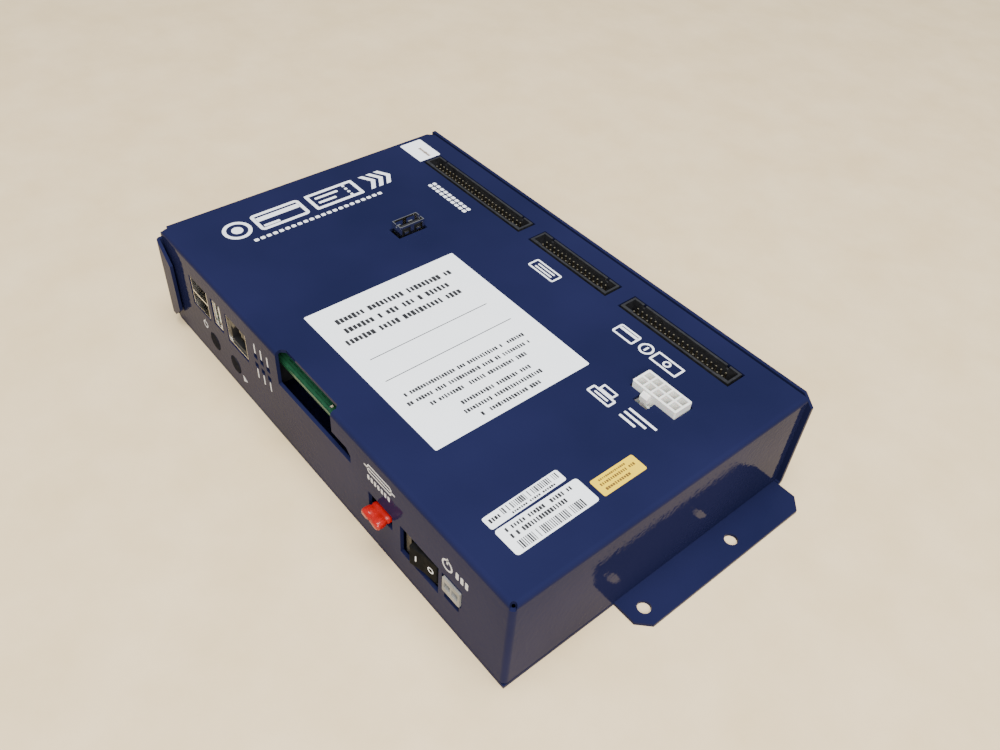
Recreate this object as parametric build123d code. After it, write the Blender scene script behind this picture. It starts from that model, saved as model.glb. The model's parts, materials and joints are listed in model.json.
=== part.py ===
from build123d import *
import os

os.makedirs("parts", exist_ok=True)

# Controller unit of a parking pay station: a bent-steel case with a circuit board inside,
# a row of ports in its front wall and header sockets in its top.
# Millimetres. Origin at the centre of the case's underside. +X runs along the case towards
# the mounting flange, +Y from the port wall to the back wall, +Z up.

# Driving dimensions of the case
body_l = 241.4
body_w = 152.4
body_h = 50.8
sheet = 1.5
fold_out = 2.2
fold_in = fold_out - sheet
seam = 0.8

left = -body_l / 2
right = body_l / 2
front = -body_w / 2
back = body_w / 2
top_under = body_h - sheet
floor_top = sheet
wall_low = floor_top + seam
wall_in = front + sheet

# Base pan
tab_stand_off = 2.8
tab_reach = 10.7
tab_z = (6.0, 46.8)
tab_mitre_low = 6.0
tab_mitre_high = 9.3
back_overrun = 2.0
back_rise = 0.3
back_gap = 0.9
back_mitre = 5.0
flange_reach = 15.6
flange_y = (front + 53.8, back - 2.6)
flange_mitre = 5.2
flange_hole_r = 2.75
flange_hole_x = right + 8.2
flange_hole_y = (front + 61.4, front + 111.4)

# Cover
corner_relief = 3.3
relief_r = 1.2
lip = 12.0
lip_floor = 10.0
plate_back = back - sheet - back_gap

# Boards
board_t = 1.6
board_top = 42.2
board_under = board_top - board_t
power_under = 28.9
power_top = power_under + board_t
pitch = 2.54

# Header sockets that stand through the top plate
header_y = back - 17.7
header_w = 8.9
header_h = 8.9
header_wall = 1.0
header_end = 7.62
header_floor = 2.2
header_cut = 0.9
pin_side = 0.64
keypad_x = left + 57.0
keypad_ways = 25
display_x = left + 125.1
display_ways = 16
payment_x = left + 187.8
payment_ways = 20

# Printer connector
printer_x = left + 205.8
printer_y = front + 104.4
printer_cell = 4.2
printer_columns = 5
printer_size = (22.2, 9.6)
printer_top = 53.6

# Upright USB socket in the top plate
stick_x = left + 62.6
stick_y = front + 89.9
stick_size = (6.4, 13.1)
stick_top = 55.4
stick_cut = (8.4, 15.6)

# Ports in the front wall, hung under the main board
dual_x = left + 32.1
dual_size = (14.4, 15.4)
dual_cut = (16.0, 15.9)
side_x = left + 47.9
side_size = (6.4, 13.4)
side_cut = (8.6, 14.4)
jack_x = left + 64.9
jack_size = (16.2, 14.0)
jack_cut = (17.3, 15.2)
port_depth = 17.5
port_cut_top = board_under + 0.1

# Push buttons
button_z = 13.5
button_r = 4.1
button_hole_r = 4.4
reset_x = left + 40.5
test_x = left + 59.1
button_travel = 1.0

# Status lamps
lamp_x = left + 86.4
lamp_pitch = 5.08
lamp_rows = (35.2, 30.2)
lamp_window = 2.8

# Card slot
slot_x = (left + 99.3, left + 150.9)
slot_step_x = left + 138.6
slot_z = (33.8, 40.2)
slot_notch = 4.2
card_x = left + 125.0
card_size = (42.8, 36.4, 3.3)
card_z = 35.4
card_front = front + 9.0

# Fuse
fuse_x = left + 170.4
fuse_z = 24.5
fuse_body = (10.9, 8.6, 3.8)
fuse_out = 5.8
fuse_cut_x = (left + 161.9, left + 176.9)
fuse_cut_z = (20.5, 28.4)
blade_x = 4.0
blade = (2.8, 7.2, 0.8)

# Power switch
rocker_cut_x = left + 193.1
rocker_cut = (22.6, 15.4)
switch_x = left + 193.7
switch_w = 21.0
rocker_x = left + 194.6
rocker_z = 21.2
rocker_pivot_y = front + 6.4
rocker_half = 6.9
rocker_height = 10.4
rocker_swing = 16.8
rocker_tilt = 10.0
pivot_r = 1.2
pivot_fit = 0.06

# Power inlet
inlet_x = left + 212.0
inlet_size = (9.6, 8.2)
inlet_z = (20.3, 28.5)
inlet_latch = (8.2, 4.4)
inlet_depth = 13.0


def block(x, y, z):
    """Box between its low and high sides."""
    size = (x[1] - x[0], y[1] - y[0], z[1] - z[0])
    middle = ((x[0] + x[1]) / 2, (y[0] + y[1]) / 2, (z[0] + z[1]) / 2)
    return Pos(*middle) * Box(*size)


def about(centre, width):
    """Low and high sides of a width about its centre."""
    return (centre - width / 2, centre + width / 2)


def post(x, y, z, radius):
    """Upright round bar."""
    return Pos(x, y, (z[0] + z[1]) / 2) * Cylinder(radius, z[1] - z[0])


def rod_y(x, z, y, radius):
    """Round bar along Y."""
    return Pos(x, (y[0] + y[1]) / 2, z) * Rot(90, 0, 0) * Cylinder(radius, y[1] - y[0])


def rod_x(y, z, x, radius):
    """Round bar along X."""
    return Pos((x[0] + x[1]) / 2, y, z) * Rot(0, 90, 0) * Cylinder(radius, x[1] - x[0])


def fold(shape, folds, radius):
    """Rounds the edges that run along the given axes through the given points."""
    edges = [shape.edges().filter_by(axis).sort_by_distance(Vector(*point))[0] for axis, point in folds]
    return fillet(edges, radius)


def plan(points, z):
    """Prism of a plan outline between two heights."""
    face = make_face(Polyline(*points, close=True))
    return Pos(0, 0, z[0]) * extrude(face, z[1] - z[0])


def front_view(points, y):
    """Prism of an X, Z outline between two Y planes."""
    face = make_face(Plane.XZ * Polyline(*points, close=True))
    return Pos(0, y[1], 0) * extrude(face, y[1] - y[0])


def write(shape, name):
    """One STEP file for one named piece."""
    export_step(shape, "parts/" + name + ".step")


def group(solids):
    """Separate solids that share one node."""
    return Compound(children=list(solids))


# ---------------------------------------------------------------- case


tall_posts = [
    (left + 12, front + 26),
    (left + 12, back - 30),
    (left + 92, front + 66),
    (left + 92, back - 30),
    (right - 86, front + 66),
    (right - 86, back - 30),
    (right - 15, front + 66),
    (right - 15, back - 30),
]
short_posts = [
    (right - 84, front + 22),
    (right - 11, front + 22),
    (right - 84, front + 54),
    (right - 11, front + 54),
]
post_flat = 5.5
stud_r = 1.5
floor_screw_at = [
    (left + 30, front + 5.5),
    (left + 155, front + 5.5),
    (right - 30, front + 5.5),
    (right - 5.5, front + 40),
    (right - 5.5, back - 30),
]
side_screw_at = [(front + 6, 5.8), (back - 10, 5.8)]
back_screw_x = (left + 30, 0.0, right - 30)
back_screw_z = body_h - 7.0
screw_r = 1.5
screw_free = 1.7
head_r = 2.8
head_h = 2.0


def base_pan():
    """Floor, left wall with its hook tab, back wall and mounting flange, bent from one sheet."""
    shell = block((left, right + back_overrun), (front + 0.2, back), (0, body_h + back_rise))
    shell = fold(shell, [(Axis.X, (0, back, 0)), (Axis.Y, (left, 0, 0))], fold_out)
    hollow = block((left + sheet, right + 9), (front - 9, back - sheet), (sheet, body_h + 9))
    hollow = fold(hollow, [(Axis.X, (0, back - sheet, sheet)), (Axis.Y, (left + sheet, 0, sheet))], fold_in)
    pan = shell - hollow
    pan -= block((right, right + 9), (front - 9, back - fold_out), (-1, fold_out + 1))
    pan -= block((left - 1, left + sheet), (front - 9, back - sheet - 0.5), (top_under - 0.3, body_h + 9))
    pan += mounting_flange()
    pan += hook_tab()
    pan -= back_corner_mitre()
    for x, y in floor_screw_at:
        pan -= post(x, y, (-1, floor_top + 1), screw_free)
        pan -= Pos(x, y, 0.55) * Cone(screw_free + 1.4, screw_free, 1.11)
    for y, z in side_screw_at:
        pan -= rod_x(y, z, (left - 1, left + sheet + 1), screw_free)
    for x in back_screw_x:
        pan -= rod_y(x, back_screw_z, (back - sheet - 1, back + 1), screw_free)
    return pan


def mounting_flange():
    """Ear that the case is bolted down by, with mitred outer corners and two holes."""
    low, high = flange_y
    far = right + flange_reach
    ear = plan(
        [
            (right - 1, low),
            (far - flange_mitre, low),
            (far, low + flange_mitre),
            (far, high - flange_mitre),
            (far - flange_mitre, high),
            (right - 1, high),
        ],
        (0, sheet),
    )
    for y in flange_hole_y:
        ear -= post(flange_hole_x, y, (-1, sheet + 1), flange_hole_r)
    return ear


def hook_tab():
    """Return of the left wall that reaches round in front of the port wall, mitred at both ends."""
    face = front - tab_stand_off
    low, high = tab_z
    reach = left + tab_reach
    tab = front_view(
        [
            (left, low),
            (left + tab_reach - tab_mitre_low, low),
            (reach, low + tab_mitre_low),
            (reach, high - tab_mitre_high),
            (left + 2.0, high),
            (left, high),
        ],
        (face, face + sheet),
    )
    tongue = block((left, left + sheet), (face, front + 1), (low, high))
    hook = tab + tongue
    return fold(hook, [(Axis.Z, (left, face, (low + high) / 2))], fold_out)


def back_corner_mitre():
    """Waste cut from the back wall's upper corners."""
    top = body_h + back_rise
    end = right + back_overrun
    right_waste = front_view(
        [(end + 1, top - back_mitre - 1), (end + 1, top + 1), (end - back_mitre - 1, top + 1)],
        (back - sheet - 1, back + 1),
    )
    left_waste = front_view(
        [(left - 1, top - 3.0), (left - 1, top + 1), (left + 3.0, top + 1)],
        (back - sheet - 1, back + 1),
    )
    return right_waste + left_waste


def cover():
    """Top plate, port wall and right end wall, with the openings for every connector."""
    shell = block((left, right), (front, plate_back), (wall_low, body_h))
    outer_folds = [
        (Axis.X, (0, front, body_h)),
        (Axis.Y, (right, 0, body_h)),
        (Axis.Z, (right, front, 20)),
    ]
    shell = fold(shell, outer_folds, fold_out)
    hollow = block((left - 9, right - sheet), (wall_in, back + 9), (-9, top_under))
    inner_folds = [
        (Axis.X, (0, wall_in, top_under)),
        (Axis.Y, (right - sheet, 0, top_under)),
        (Axis.Z, (right - sheet, wall_in, 20)),
    ]
    hollow = fold(hollow, inner_folds, fold_in)
    lid = shell - hollow
    lid -= block((left - 1, left + sheet + 0.3), (front - 1, front + corner_relief), (0, body_h + 1))
    lid -= post(right - relief_r, front + relief_r, (body_h - 3.0, body_h + 1), relief_r)
    lid -= plan(
        [(left - 1, plate_back - 4), (left + 3, plate_back), (left + 3, back), (left - 1, back)],
        (top_under - 1, body_h + 1),
    )
    lid += cover_lips()
    lid -= port_openings()
    lid -= slot_opening()
    lid -= power_openings()
    lid -= top_openings()
    return lid


def cover_lips():
    """Lips inside the cover that take its screws."""
    back_lip = block((left + 20, right - 20), (plate_back - sheet, plate_back), (body_h - lip, body_h - 0.5))
    side = left + sheet + 0.3
    left_lip = block((side, side + sheet), (wall_in - 0.5, front + lip), (wall_low, top_under - 4))
    rear_lip = block((side, side + sheet), (plate_back - lip, plate_back), (wall_low, top_under + 0.5))
    lip_z = (wall_low, wall_low + sheet)
    front_lip = block((left + 16, right - 3), (wall_in - 0.5, front + lip_floor), lip_z)
    end_lip = block((right - lip_floor, right - 1), (front + 16, plate_back - 4), lip_z)
    lips = back_lip + left_lip + rear_lip + front_lip + end_lip
    for x, y in floor_screw_at:
        lips -= post(x, y, (wall_low - 1, wall_low + sheet + 1), screw_r + 0.1)
    for y, z in side_screw_at:
        lips -= rod_x(y, z, (side - 1, side + sheet + 1), screw_r + 0.1)
    for x in back_screw_x:
        lips -= rod_y(x, back_screw_z, (plate_back - sheet - 1, plate_back + 1), screw_r + 0.1)
    return lips


def port_openings():
    """Cut-outs of the data ports, the two push buttons and the lamps."""
    depth = (front - 1, wall_in + 0.2)
    cut = block(about(dual_x, dual_cut[0]), depth, (port_cut_top - dual_cut[1], port_cut_top))
    cut += block(about(side_x, side_cut[0]), depth, (port_cut_top - side_cut[1], port_cut_top))
    cut += block(about(jack_x, jack_cut[0]), depth, (port_cut_top - jack_cut[1], port_cut_top))
    for x in (reset_x, test_x):
        cut += rod_y(x, button_z, depth, button_hole_r)
    for column in (-1, 0, 1):
        for z in lamp_rows:
            x = lamp_x + column * lamp_pitch
            cut += block(about(x, lamp_window), depth, about(z, lamp_window))
    return cut


def slot_opening():
    """Stepped card slot, which runs up over the fold into the top plate as a finger notch."""
    depth = (front - 1, wall_in + 0.2)
    low, step = slot_z
    cut = front_view(
        [
            (slot_x[0], low),
            (slot_x[1], low),
            (slot_x[1], step - 2.5),
            (slot_x[1] - 2.5, step),
            (slot_step_x, step),
            (slot_step_x, body_h + 1),
            (slot_x[0], body_h + 1),
        ],
        depth,
    )
    notch = plan(
        [
            (slot_x[0], front - 1),
            (slot_x[0], front + slot_notch - 1.5),
            (slot_x[0] + 1.5, front + slot_notch),
            (slot_step_x - 1.5, front + slot_notch),
            (slot_step_x, front + slot_notch - 1.5),
            (slot_step_x, front - 1),
        ],
        (top_under - fold_in, body_h + 1),
    )
    return cut + notch


def power_openings():
    """Cut-outs of the fuse, the power switch and the power inlet with its latch notch."""
    depth = (front - 1, wall_in + 0.2)
    cut = block(fuse_cut_x, depth, fuse_cut_z)
    cut += block(about(rocker_cut_x, rocker_cut[0]), depth, about(rocker_z, rocker_cut[1]))
    cut += block((inlet_x - inlet_size[0] / 2 - 1.0, inlet_x + inlet_size[0] / 2 + 0.4), depth,
                 (inlet_z[0] - 0.4, inlet_z[1] + 0.4))
    cut += block(about(inlet_x, inlet_latch[0]), depth, (inlet_z[0] - inlet_latch[1], inlet_z[0]))
    return cut


def top_openings():
    """Cut-outs of the header sockets, the printer connector and the upright USB socket."""
    depth = (top_under - 0.5, body_h + 1)
    across = about(header_y, header_w + 2 * header_cut)
    cut = None
    for x, ways in ((keypad_x, keypad_ways), (display_x, display_ways), (payment_x, payment_ways)):
        along = about(x, header_length(ways) + 2 * header_cut)
        hole = block(along, across, depth)
        cut = hole if cut is None else cut + hole
    cut += block(about(printer_x, printer_size[0] + 1.0), about(printer_y, printer_size[1] + 0.8), depth)
    latch_x = (printer_x - 5.6, printer_x + 1.6)
    cut += block(latch_x, (printer_y - printer_size[1] / 2 - 5.0, printer_y), depth)
    cut += block(about(stick_x, stick_cut[0]), about(stick_y, stick_cut[1]), depth)
    return cut


# ---------------------------------------------------------------- boards


def main_board():
    """Main circuit board, a little inside the case walls."""
    board = block((left + 6, right - 5), (front + 3.6, back - 7), (board_under, board_top))
    for x, y in tall_posts + short_posts:
        board -= post(x, y, (board_under - 1, board_top + 1), stud_r + 0.1)
    return board


def power_board():
    """Small board that carries the fuse, the switch and the power inlet under the main board."""
    board = block((right - 90, right - 6), (front + 3.6, front + 60), (power_under, power_top))
    for x, y in short_posts:
        board -= post(x, y, (power_under - 1, power_top + 1), stud_r + 0.1)
    return board


def hex_post(x, y, z):
    """Hexagonal standoff with a tapped bore in its upper end."""
    body = Pos(x, y, z[0]) * extrude(RegularPolygon(post_flat / 2, 6, major_radius=False), z[1] - z[0])
    return body - post(x, y, (z[1] - 7, z[1] + 1), stud_r)


def pan_screw(x, y, z, length, side=1):
    """Pan-head screw whose head stands on height z; side 1 points its head up."""
    head = Pos(x, y, z + side * head_h / 2) * Cylinder(head_r, head_h)
    rim = head.edges().sort_by(Axis.Z)[-1 if side == 1 else 0]
    head = fillet(rim, 0.8)
    shank = post(x, y, (z - length, z + 0.1) if side == 1 else (z - 0.1, z + length), screw_r)
    slot_z_range = (z + head_h - 0.8, z + head_h + 1) if side == 1 else (z - head_h - 1, z - head_h + 0.8)
    screw = head + shank
    screw -= block(about(x, 3.0), about(y, 0.6), slot_z_range)
    screw -= block(about(x, 0.6), about(y, 3.0), slot_z_range)
    return screw


def board_screws():
    """Screws that hold the boards to their standoffs."""
    screws = [pan_screw(x, y, board_top, 6.0) for x, y in tall_posts + short_posts]
    return screws + [pan_screw(x, y, power_under, 4.4, side=-1) for x, y in short_posts]


def power_post(x, y):
    """Hexagonal spacer between the two boards, tapped at both ends."""
    body = Pos(x, y, power_top) * extrude(RegularPolygon(post_flat / 2, 6, major_radius=False),
                                          board_under - power_top)
    return body - post(x, y, (power_top - 1, board_under + 1), stud_r)


def cover_screws():
    """Pan-head screws through the left and back walls into the cover's lips."""
    screws = []
    for y, z in side_screw_at:
        placed = Pos(left, y, z) * Rot(0, -90, 0) * pan_screw(0, 0, 0, 5.5)
        screws.append(placed)
    for x in back_screw_x:
        placed = Pos(x, back, back_screw_z) * Rot(-90, 0, 0) * pan_screw(0, 0, 0, 6.0)
        screws.append(placed)
    return screws


def floor_screw(x, y):
    """Countersunk screw, flush with the underside of the floor."""
    head = Pos(x, y, 0.55) * Cone(screw_free + 1.2, screw_r, 1.0)
    shank = post(x, y, (0.9, 6.2), screw_r)
    slots = block(about(x, 2.6), about(y, 0.5), (-1, 0.55)) + block(about(x, 0.5), about(y, 2.6), (-1, 0.55))
    return head + shank - slots


def clinch_nuts():
    """Threaded nuts pressed into the cover's lips."""
    nuts = []
    ring = Cylinder(3.2, 1.8) - Cylinder(screw_r + 0.05, 4)
    for x, y in floor_screw_at:
        nuts.append(Pos(x, y, wall_low + sheet + 0.9) * ring)
    side = left + 2 * sheet + 0.3
    for y, z in side_screw_at:
        nuts.append(Pos(side + 0.9, y, z) * Rot(0, 90, 0) * ring)
    for x in back_screw_x:
        nuts.append(Pos(x, plate_back - sheet - 0.9, back_screw_z) * Rot(90, 0, 0) * ring)
    return nuts


# ---------------------------------------------------------------- header sockets


def header_length(ways):
    """Outside length of a two-row header socket."""
    return ways * pitch + header_end


def header_body(x, ways):
    """Open-topped plastic shroud of a header, with keying slots in its far wall."""
    length = header_length(ways)
    rim = board_top + header_h
    shroud = block(about(x, length), about(header_y, header_w), (board_top, rim))
    shroud -= block(about(x, length - 2 * header_wall), about(header_y, header_w - 2 * header_wall),
                    (board_top + header_floor, rim + 1))
    inner_near = header_y - header_w / 2 + header_wall
    for end in (-1, 1):
        slot = x + end * (length / 2 - 6.4)
        shroud -= block(about(slot, 1.3), (header_y, header_y + header_w), (rim - 1.6, rim + 1))
        inset = x + end * (length / 2 - 3.2)
        shroud += block(about(inset, 6.0), (inner_near - 0.2, inner_near + 0.5), (board_top + 1, rim))
    for row in (-0.5, 0.5):
        for k in range(ways):
            at = x + (k - (ways - 1) / 2) * pitch
            shroud -= block(about(at, pin_side), about(header_y + row * pitch, pin_side),
                            (board_top - 1, board_top + header_floor + 1))
    return shroud


def header_pins(x, ways):
    """Square pins of a header, two rows, through the board."""
    pins = []
    for row in (-0.5, 0.5):
        for k in range(ways):
            at = x + (k - (ways - 1) / 2) * pitch
            pins.append(square_pin(at, header_y + row * pitch, board_under - 1.4, board_top + header_h - 1.1))
    return pins


def square_pin(x, y, low, high):
    """Square pin with a pointed tip."""
    pin = block(about(x, pin_side), about(y, pin_side), (low, high))
    return chamfer(pin.faces().sort_by(Axis.Z)[-1].edges(), 0.18)


# ---------------------------------------------------------------- printer connector


def printer_body():
    """White housing with five by two cells and a latch ramp on its near side."""
    low = board_top
    body = block(about(printer_x, printer_size[0]), about(printer_y, printer_size[1]), (low, printer_top))
    body = chamfer(body.edges().filter_by(Axis.Z), 0.5)
    cell = printer_cell - 0.9
    for column in range(printer_columns):
        for row in (-0.5, 0.5):
            x = printer_x + (column - (printer_columns - 1) / 2) * printer_cell
            y = printer_y + row * printer_cell
            body -= block(about(x, cell), about(y, cell), (low + 3, printer_top + 1))
            body -= block(about(x, 1.0), about(y, 1.0), (low - 1, low + 4))
    near = printer_y - printer_size[1] / 2
    ramp_x = (printer_x - 4.9, printer_x - 1.2)
    body += block((printer_x - 5.0, printer_x + 1.0), (near - 0.9, near + 0.2), (low, low + 5))
    ramp = block(ramp_x, (near - 1.9, near + 0.2), (printer_top - 4.6, printer_top - 1.0))
    nose = ramp.edges().filter_by(Axis.X).sort_by_distance(Vector(printer_x, near - 2, printer_top))[0]
    body += chamfer(nose, 1.3)
    return body


def printer_pins():
    """Square pins in the printer connector's cells."""
    pins = []
    for column in range(printer_columns):
        for row in (-0.5, 0.5):
            x = printer_x + (column - (printer_columns - 1) / 2) * printer_cell
            y = printer_y + row * printer_cell
            pin = block(about(x, 1.0), about(y, 1.0), (board_under - 1.2, printer_top - 2.4))
            pins.append(chamfer(pin.faces().sort_by(Axis.Z)[-1].edges(), 0.25))
    return pins


# ---------------------------------------------------------------- USB sockets


usb_wall = 0.35


def usb_shell(width, height, depth):
    """Bare USB shell, mouth towards -Y at y 0, centred on the X and Z axes."""
    shell = block(about(0, width), (0, depth), about(0, height))
    shell -= block(about(0, width - 2 * usb_wall), (-1, depth - usb_wall),
                   about(0, height - 2 * usb_wall))
    return shell


def stick_shell():
    """Shell of the upright USB socket, with two spring windows in each long side."""
    width, length = stick_size
    shell = block(about(stick_x, width), about(stick_y, length), (board_top, stick_top))
    shell -= block(about(stick_x, width - 2 * usb_wall), about(stick_y, length - 2 * usb_wall),
                   (board_top + 0.5, stick_top + 1))
    for y in (-0.25, 0.25):
        at = stick_y + y * length
        shell -= block(about(stick_x, width + 2), about(at, 4.6), (stick_top - 6.2, stick_top - 1.0))
        for side in (-1, 1):
            x = stick_x + side * (width / 2 - usb_wall - 0.05)
            shell += block(about(x, 0.3), about(at, 2.2), (stick_top - 6.4, stick_top - 3.2))
            shell += block(about(x + side * 0.25, 0.8), about(at, 2.2), (stick_top - 4.0, stick_top - 3.2))
    for end in (-0.5, 0.5):
        notch_z = (stick_top - 1.5, stick_top + 1)
        shell -= block(about(stick_x, 0.9), about(stick_y + end * length, 2.0), notch_z)
    return shell


def stick_insert():
    """Insulator of the upright USB socket, with its contact tongue."""
    width, length = stick_size
    base = block(about(stick_x, width - 2 * usb_wall - 0.1), about(stick_y, length - 2 * usb_wall - 0.1),
                 (board_top + 0.5, board_top + 3.0))
    tongue = block(about(stick_x + 1.0, 1.8), about(stick_y, 11.0), (board_top + 2.5, stick_top - 1.4))
    return base + tongue


def stick_contacts():
    """Four contact strips on the upright tongue."""
    face = stick_x + 0.1
    return [
        block((face - 0.2, face), about(stick_y + k * 2.3, 1.0), (board_top + 3.1, stick_top - 2.2))
        for k in (-1.5, -0.5, 0.5, 1.5)
    ]


def dual_shell():
    """Shell of the stacked USB socket with two mouths one above the other."""
    width, height = dual_size
    middle = board_under - height / 2
    mouth = front + 0.3
    shell = block(about(dual_x, width), (mouth, mouth + port_depth), (board_under - height, board_under))
    for offset in (-0.25, 0.25):
        z = middle + offset * height
        shell -= block(about(dual_x, width - 2 * usb_wall), (mouth - 1, mouth + port_depth - usb_wall),
                       about(z, height / 2 - 2 * usb_wall))
    return shell


def dual_inserts():
    """Two tongues with their backing block in the stacked socket."""
    width, height = dual_size
    middle = board_under - height / 2
    mouth = front + 0.3
    inserts = []
    for offset in (-0.25, 0.25):
        z = middle + offset * height
        backing = block(about(dual_x, width - 2 * usb_wall - 0.1),
                        (mouth + 10, mouth + port_depth - usb_wall),
                        about(z, height / 2 - 2 * usb_wall - 0.1))
        tongue = block(about(dual_x, 11.4), (mouth + 1.4, mouth + 11), about(z + 0.9, 1.9))
        inserts.append(backing + tongue)
    return inserts


def dual_contacts():
    """Contact strips under the two tongues."""
    width, height = dual_size
    middle = board_under - height / 2
    strips = []
    for offset in (-0.25, 0.25):
        z = middle + offset * height - 0.05
        for k in (-1.5, -0.5, 0.5, 1.5):
            strips.append(block(about(dual_x + k * 2.3, 1.0), (front + 2.6, front + 10.2), (z - 0.2, z)))
    return strips


def side_shell():
    """Shell of the single USB socket, standing on its narrow side."""
    width, height = side_size
    middle = board_under - height / 2
    return Pos(side_x, front + 0.3, middle) * usb_shell(width, height, port_depth)


def side_insert():
    """Tongue and backing block of the single USB socket."""
    width, height = side_size
    middle = board_under - height / 2
    mouth = front + 0.3
    backing = block(about(side_x, width - 2 * usb_wall - 0.1), (mouth + 10, mouth + port_depth - usb_wall),
                    about(middle, height - 2 * usb_wall - 0.1))
    tongue = block(about(side_x - 0.9, 1.9), (mouth + 1.4, mouth + 11), about(middle, 11.4))
    return backing + tongue


# ---------------------------------------------------------------- network jack


def jack_shield():
    """Plated can round the network jack, open at its mouth."""
    width, height = jack_size
    mouth = front + 0.3
    can = block(about(jack_x, width), (mouth, mouth + 21), (board_under - height, board_under))
    can -= block(about(jack_x, width - 2 * usb_wall), (mouth - 1, mouth + 21 - usb_wall),
                 (board_under - height + usb_wall, board_under - usb_wall))
    return can


def jack_body():
    """Black housing of the network jack, with the stepped plug cavity."""
    width, height = jack_size
    mouth = front + 0.9
    low = board_under - height + usb_wall
    body = block(about(jack_x, width - 2 * usb_wall), (mouth, front + 20.5), (low, board_under - usb_wall))
    body -= block(about(jack_x, 11.9), (mouth - 1, mouth + 12), (low + 1.6, low + 8.6))
    body -= block(about(jack_x, 6.4), (mouth - 1, mouth + 12), (low + 8.5, low + 10.2))
    body -= block(about(jack_x, 3.6), (mouth - 1, mouth + 12), (low + 10.1, low + 11.6))
    return body


def jack_contacts():
    """Eight sprung contact wires in the network jack."""
    low = board_under - jack_size[1] + usb_wall + 1.6
    wires = []
    for k in range(8):
        x = jack_x + (k - 3.5) * 1.02
        wires.append(block(about(x, 0.4), (front + 3.0, front + 11.0), (low + 0.6, low + 0.95)))
    return wires


# ---------------------------------------------------------------- push buttons and lamps


button_board_y = front + 10.5


def button_board():
    """Upright board behind the port wall that carries the two switches."""
    board = block((reset_x - 15, test_x + 15), (button_board_y, button_board_y + board_t), (5.0, 22.0))
    for x in (reset_x - 11, test_x + 11):
        board -= rod_y(x, button_z, (button_board_y - 1, button_board_y + 3), stud_r + 0.1)
    return board


def button_studs():
    """Studs and nuts that hold the button board to the port wall."""
    pieces = []
    for x in (reset_x - 11, test_x + 11):
        stud = rod_y(x, button_z, (wall_in, button_board_y), 2.5)
        stud += rod_y(x, button_z, (wall_in, button_board_y + board_t + 3), stud_r)
        pieces.append(stud)
    return pieces


def button_nuts():
    """Hexagonal nuts on the button board's studs."""
    nuts = []
    for x in (reset_x - 11, test_x + 11):
        seat = Pos(x, button_board_y + board_t, button_z) * Rot(-90, 0, 0)
        nut = seat * extrude(RegularPolygon(3.0, 6), 2.2)
        nuts.append(nut - rod_y(x, button_z, (button_board_y, button_board_y + 6), stud_r + 0.02))
    return nuts


def button_switch(x):
    """Square switch body that the button's stem plunges into."""
    body = block(about(x, 6.2), (button_board_y - 3.5, button_board_y), about(button_z, 6.2))
    return body - rod_y(x, button_z, (button_board_y - 4, button_board_y - 0.6), 1.8)


def button_cap(x):
    """Round cap with a slightly domed face and a stem."""
    cap = rod_y(x, button_z, (front - 0.3, front + 5.2), button_r)
    cap = fillet(cap.edges().sort_by(Axis.Y)[0], 0.5)
    return cap + rod_y(x, button_z, (front + 5.1, front + 8.3), 1.6)


def button_ribbon():
    """Flat cable from the button board back and up to the main board."""
    across = about((reset_x + test_x) / 2, 9.0)
    bend_y = front + 22.0
    level = block(across, (button_board_y + board_t, bend_y), (8.0, 8.9))
    return level + block(across, (bend_y - 0.9, bend_y), (8.0, board_under))


def lamp_holder():
    """Black block under the main board that holds the lamps."""
    width = 2 * lamp_pitch + 5.2
    holder = block(about(lamp_x, width), (wall_in + 0.4, front + 9), (lamp_rows[1] - 2.6, board_under))
    for column in (-1, 0, 1):
        for z in lamp_rows:
            holder -= rod_y(lamp_x + column * lamp_pitch, z, (front, front + 6), 1.3)
    return holder


def lamps():
    """Six small lamp lenses behind their windows."""
    lenses = []
    for column in (-1, 0, 1):
        for z in lamp_rows:
            lens = rod_y(lamp_x + column * lamp_pitch, z, (front + 0.9, front + 6), 1.25)
            lenses.append(fillet(lens.edges().sort_by(Axis.Y)[0], 0.6))
    return lenses


# ---------------------------------------------------------------- storage card


def card_socket():
    """Socket under the main board that the storage card slides into."""
    width = card_size[0] + 5
    low = card_z - 1.4
    socket = block(about(card_x, width), (front + 22, front + 54), (low, board_under))
    socket -= block(about(card_x, card_size[0] + 0.8), (front + 21, card_front + card_size[1] + 0.6),
                    (card_z - 0.4, card_z + card_size[2] + 0.4))
    return socket


def storage_card():
    """Slim storage card, standing a little out of its socket behind the slot."""
    width, length, thick = card_size
    card = block(about(card_x, width), (card_front, card_front + length), (card_z, card_z + thick))
    card = fillet(card.edges().filter_by(Axis.Z), 1.0)
    for side in (-1, 1):
        x = card_x + side * width / 2
        card -= block(about(x, 2.0), (card_front + 11, card_front + length + 1), (card_z + 0.8, card_z + 2.4))
    return card


# ---------------------------------------------------------------- fuse


def fuse_housing():
    """Red body of the blade fuse, with a waist and two test windows."""
    width, length, thick = fuse_body
    y = (front - fuse_out, front - fuse_out + length)
    body = block(about(fuse_x, width), y, about(fuse_z, thick))
    body = fillet(body.edges().filter_by(Axis.Z), 0.9)
    body = fillet(body.faces().sort_by(Axis.Y)[0].edges().filter_by(Axis.X), 0.5)
    for side in (-1, 1):
        body -= block(about(fuse_x, width * 0.36), (y[0] + 2.0, y[1] - 1.6),
                      about(fuse_z + side * thick / 2, 0.9))
        for x in (-3.6, 3.6):
            dimple_z = about(fuse_z + side * thick / 2, 1.0)
            body -= block(about(fuse_x + x, 1.5), (y[0] + 1.0, y[0] + 2.4), dimple_z)
    return body


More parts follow.
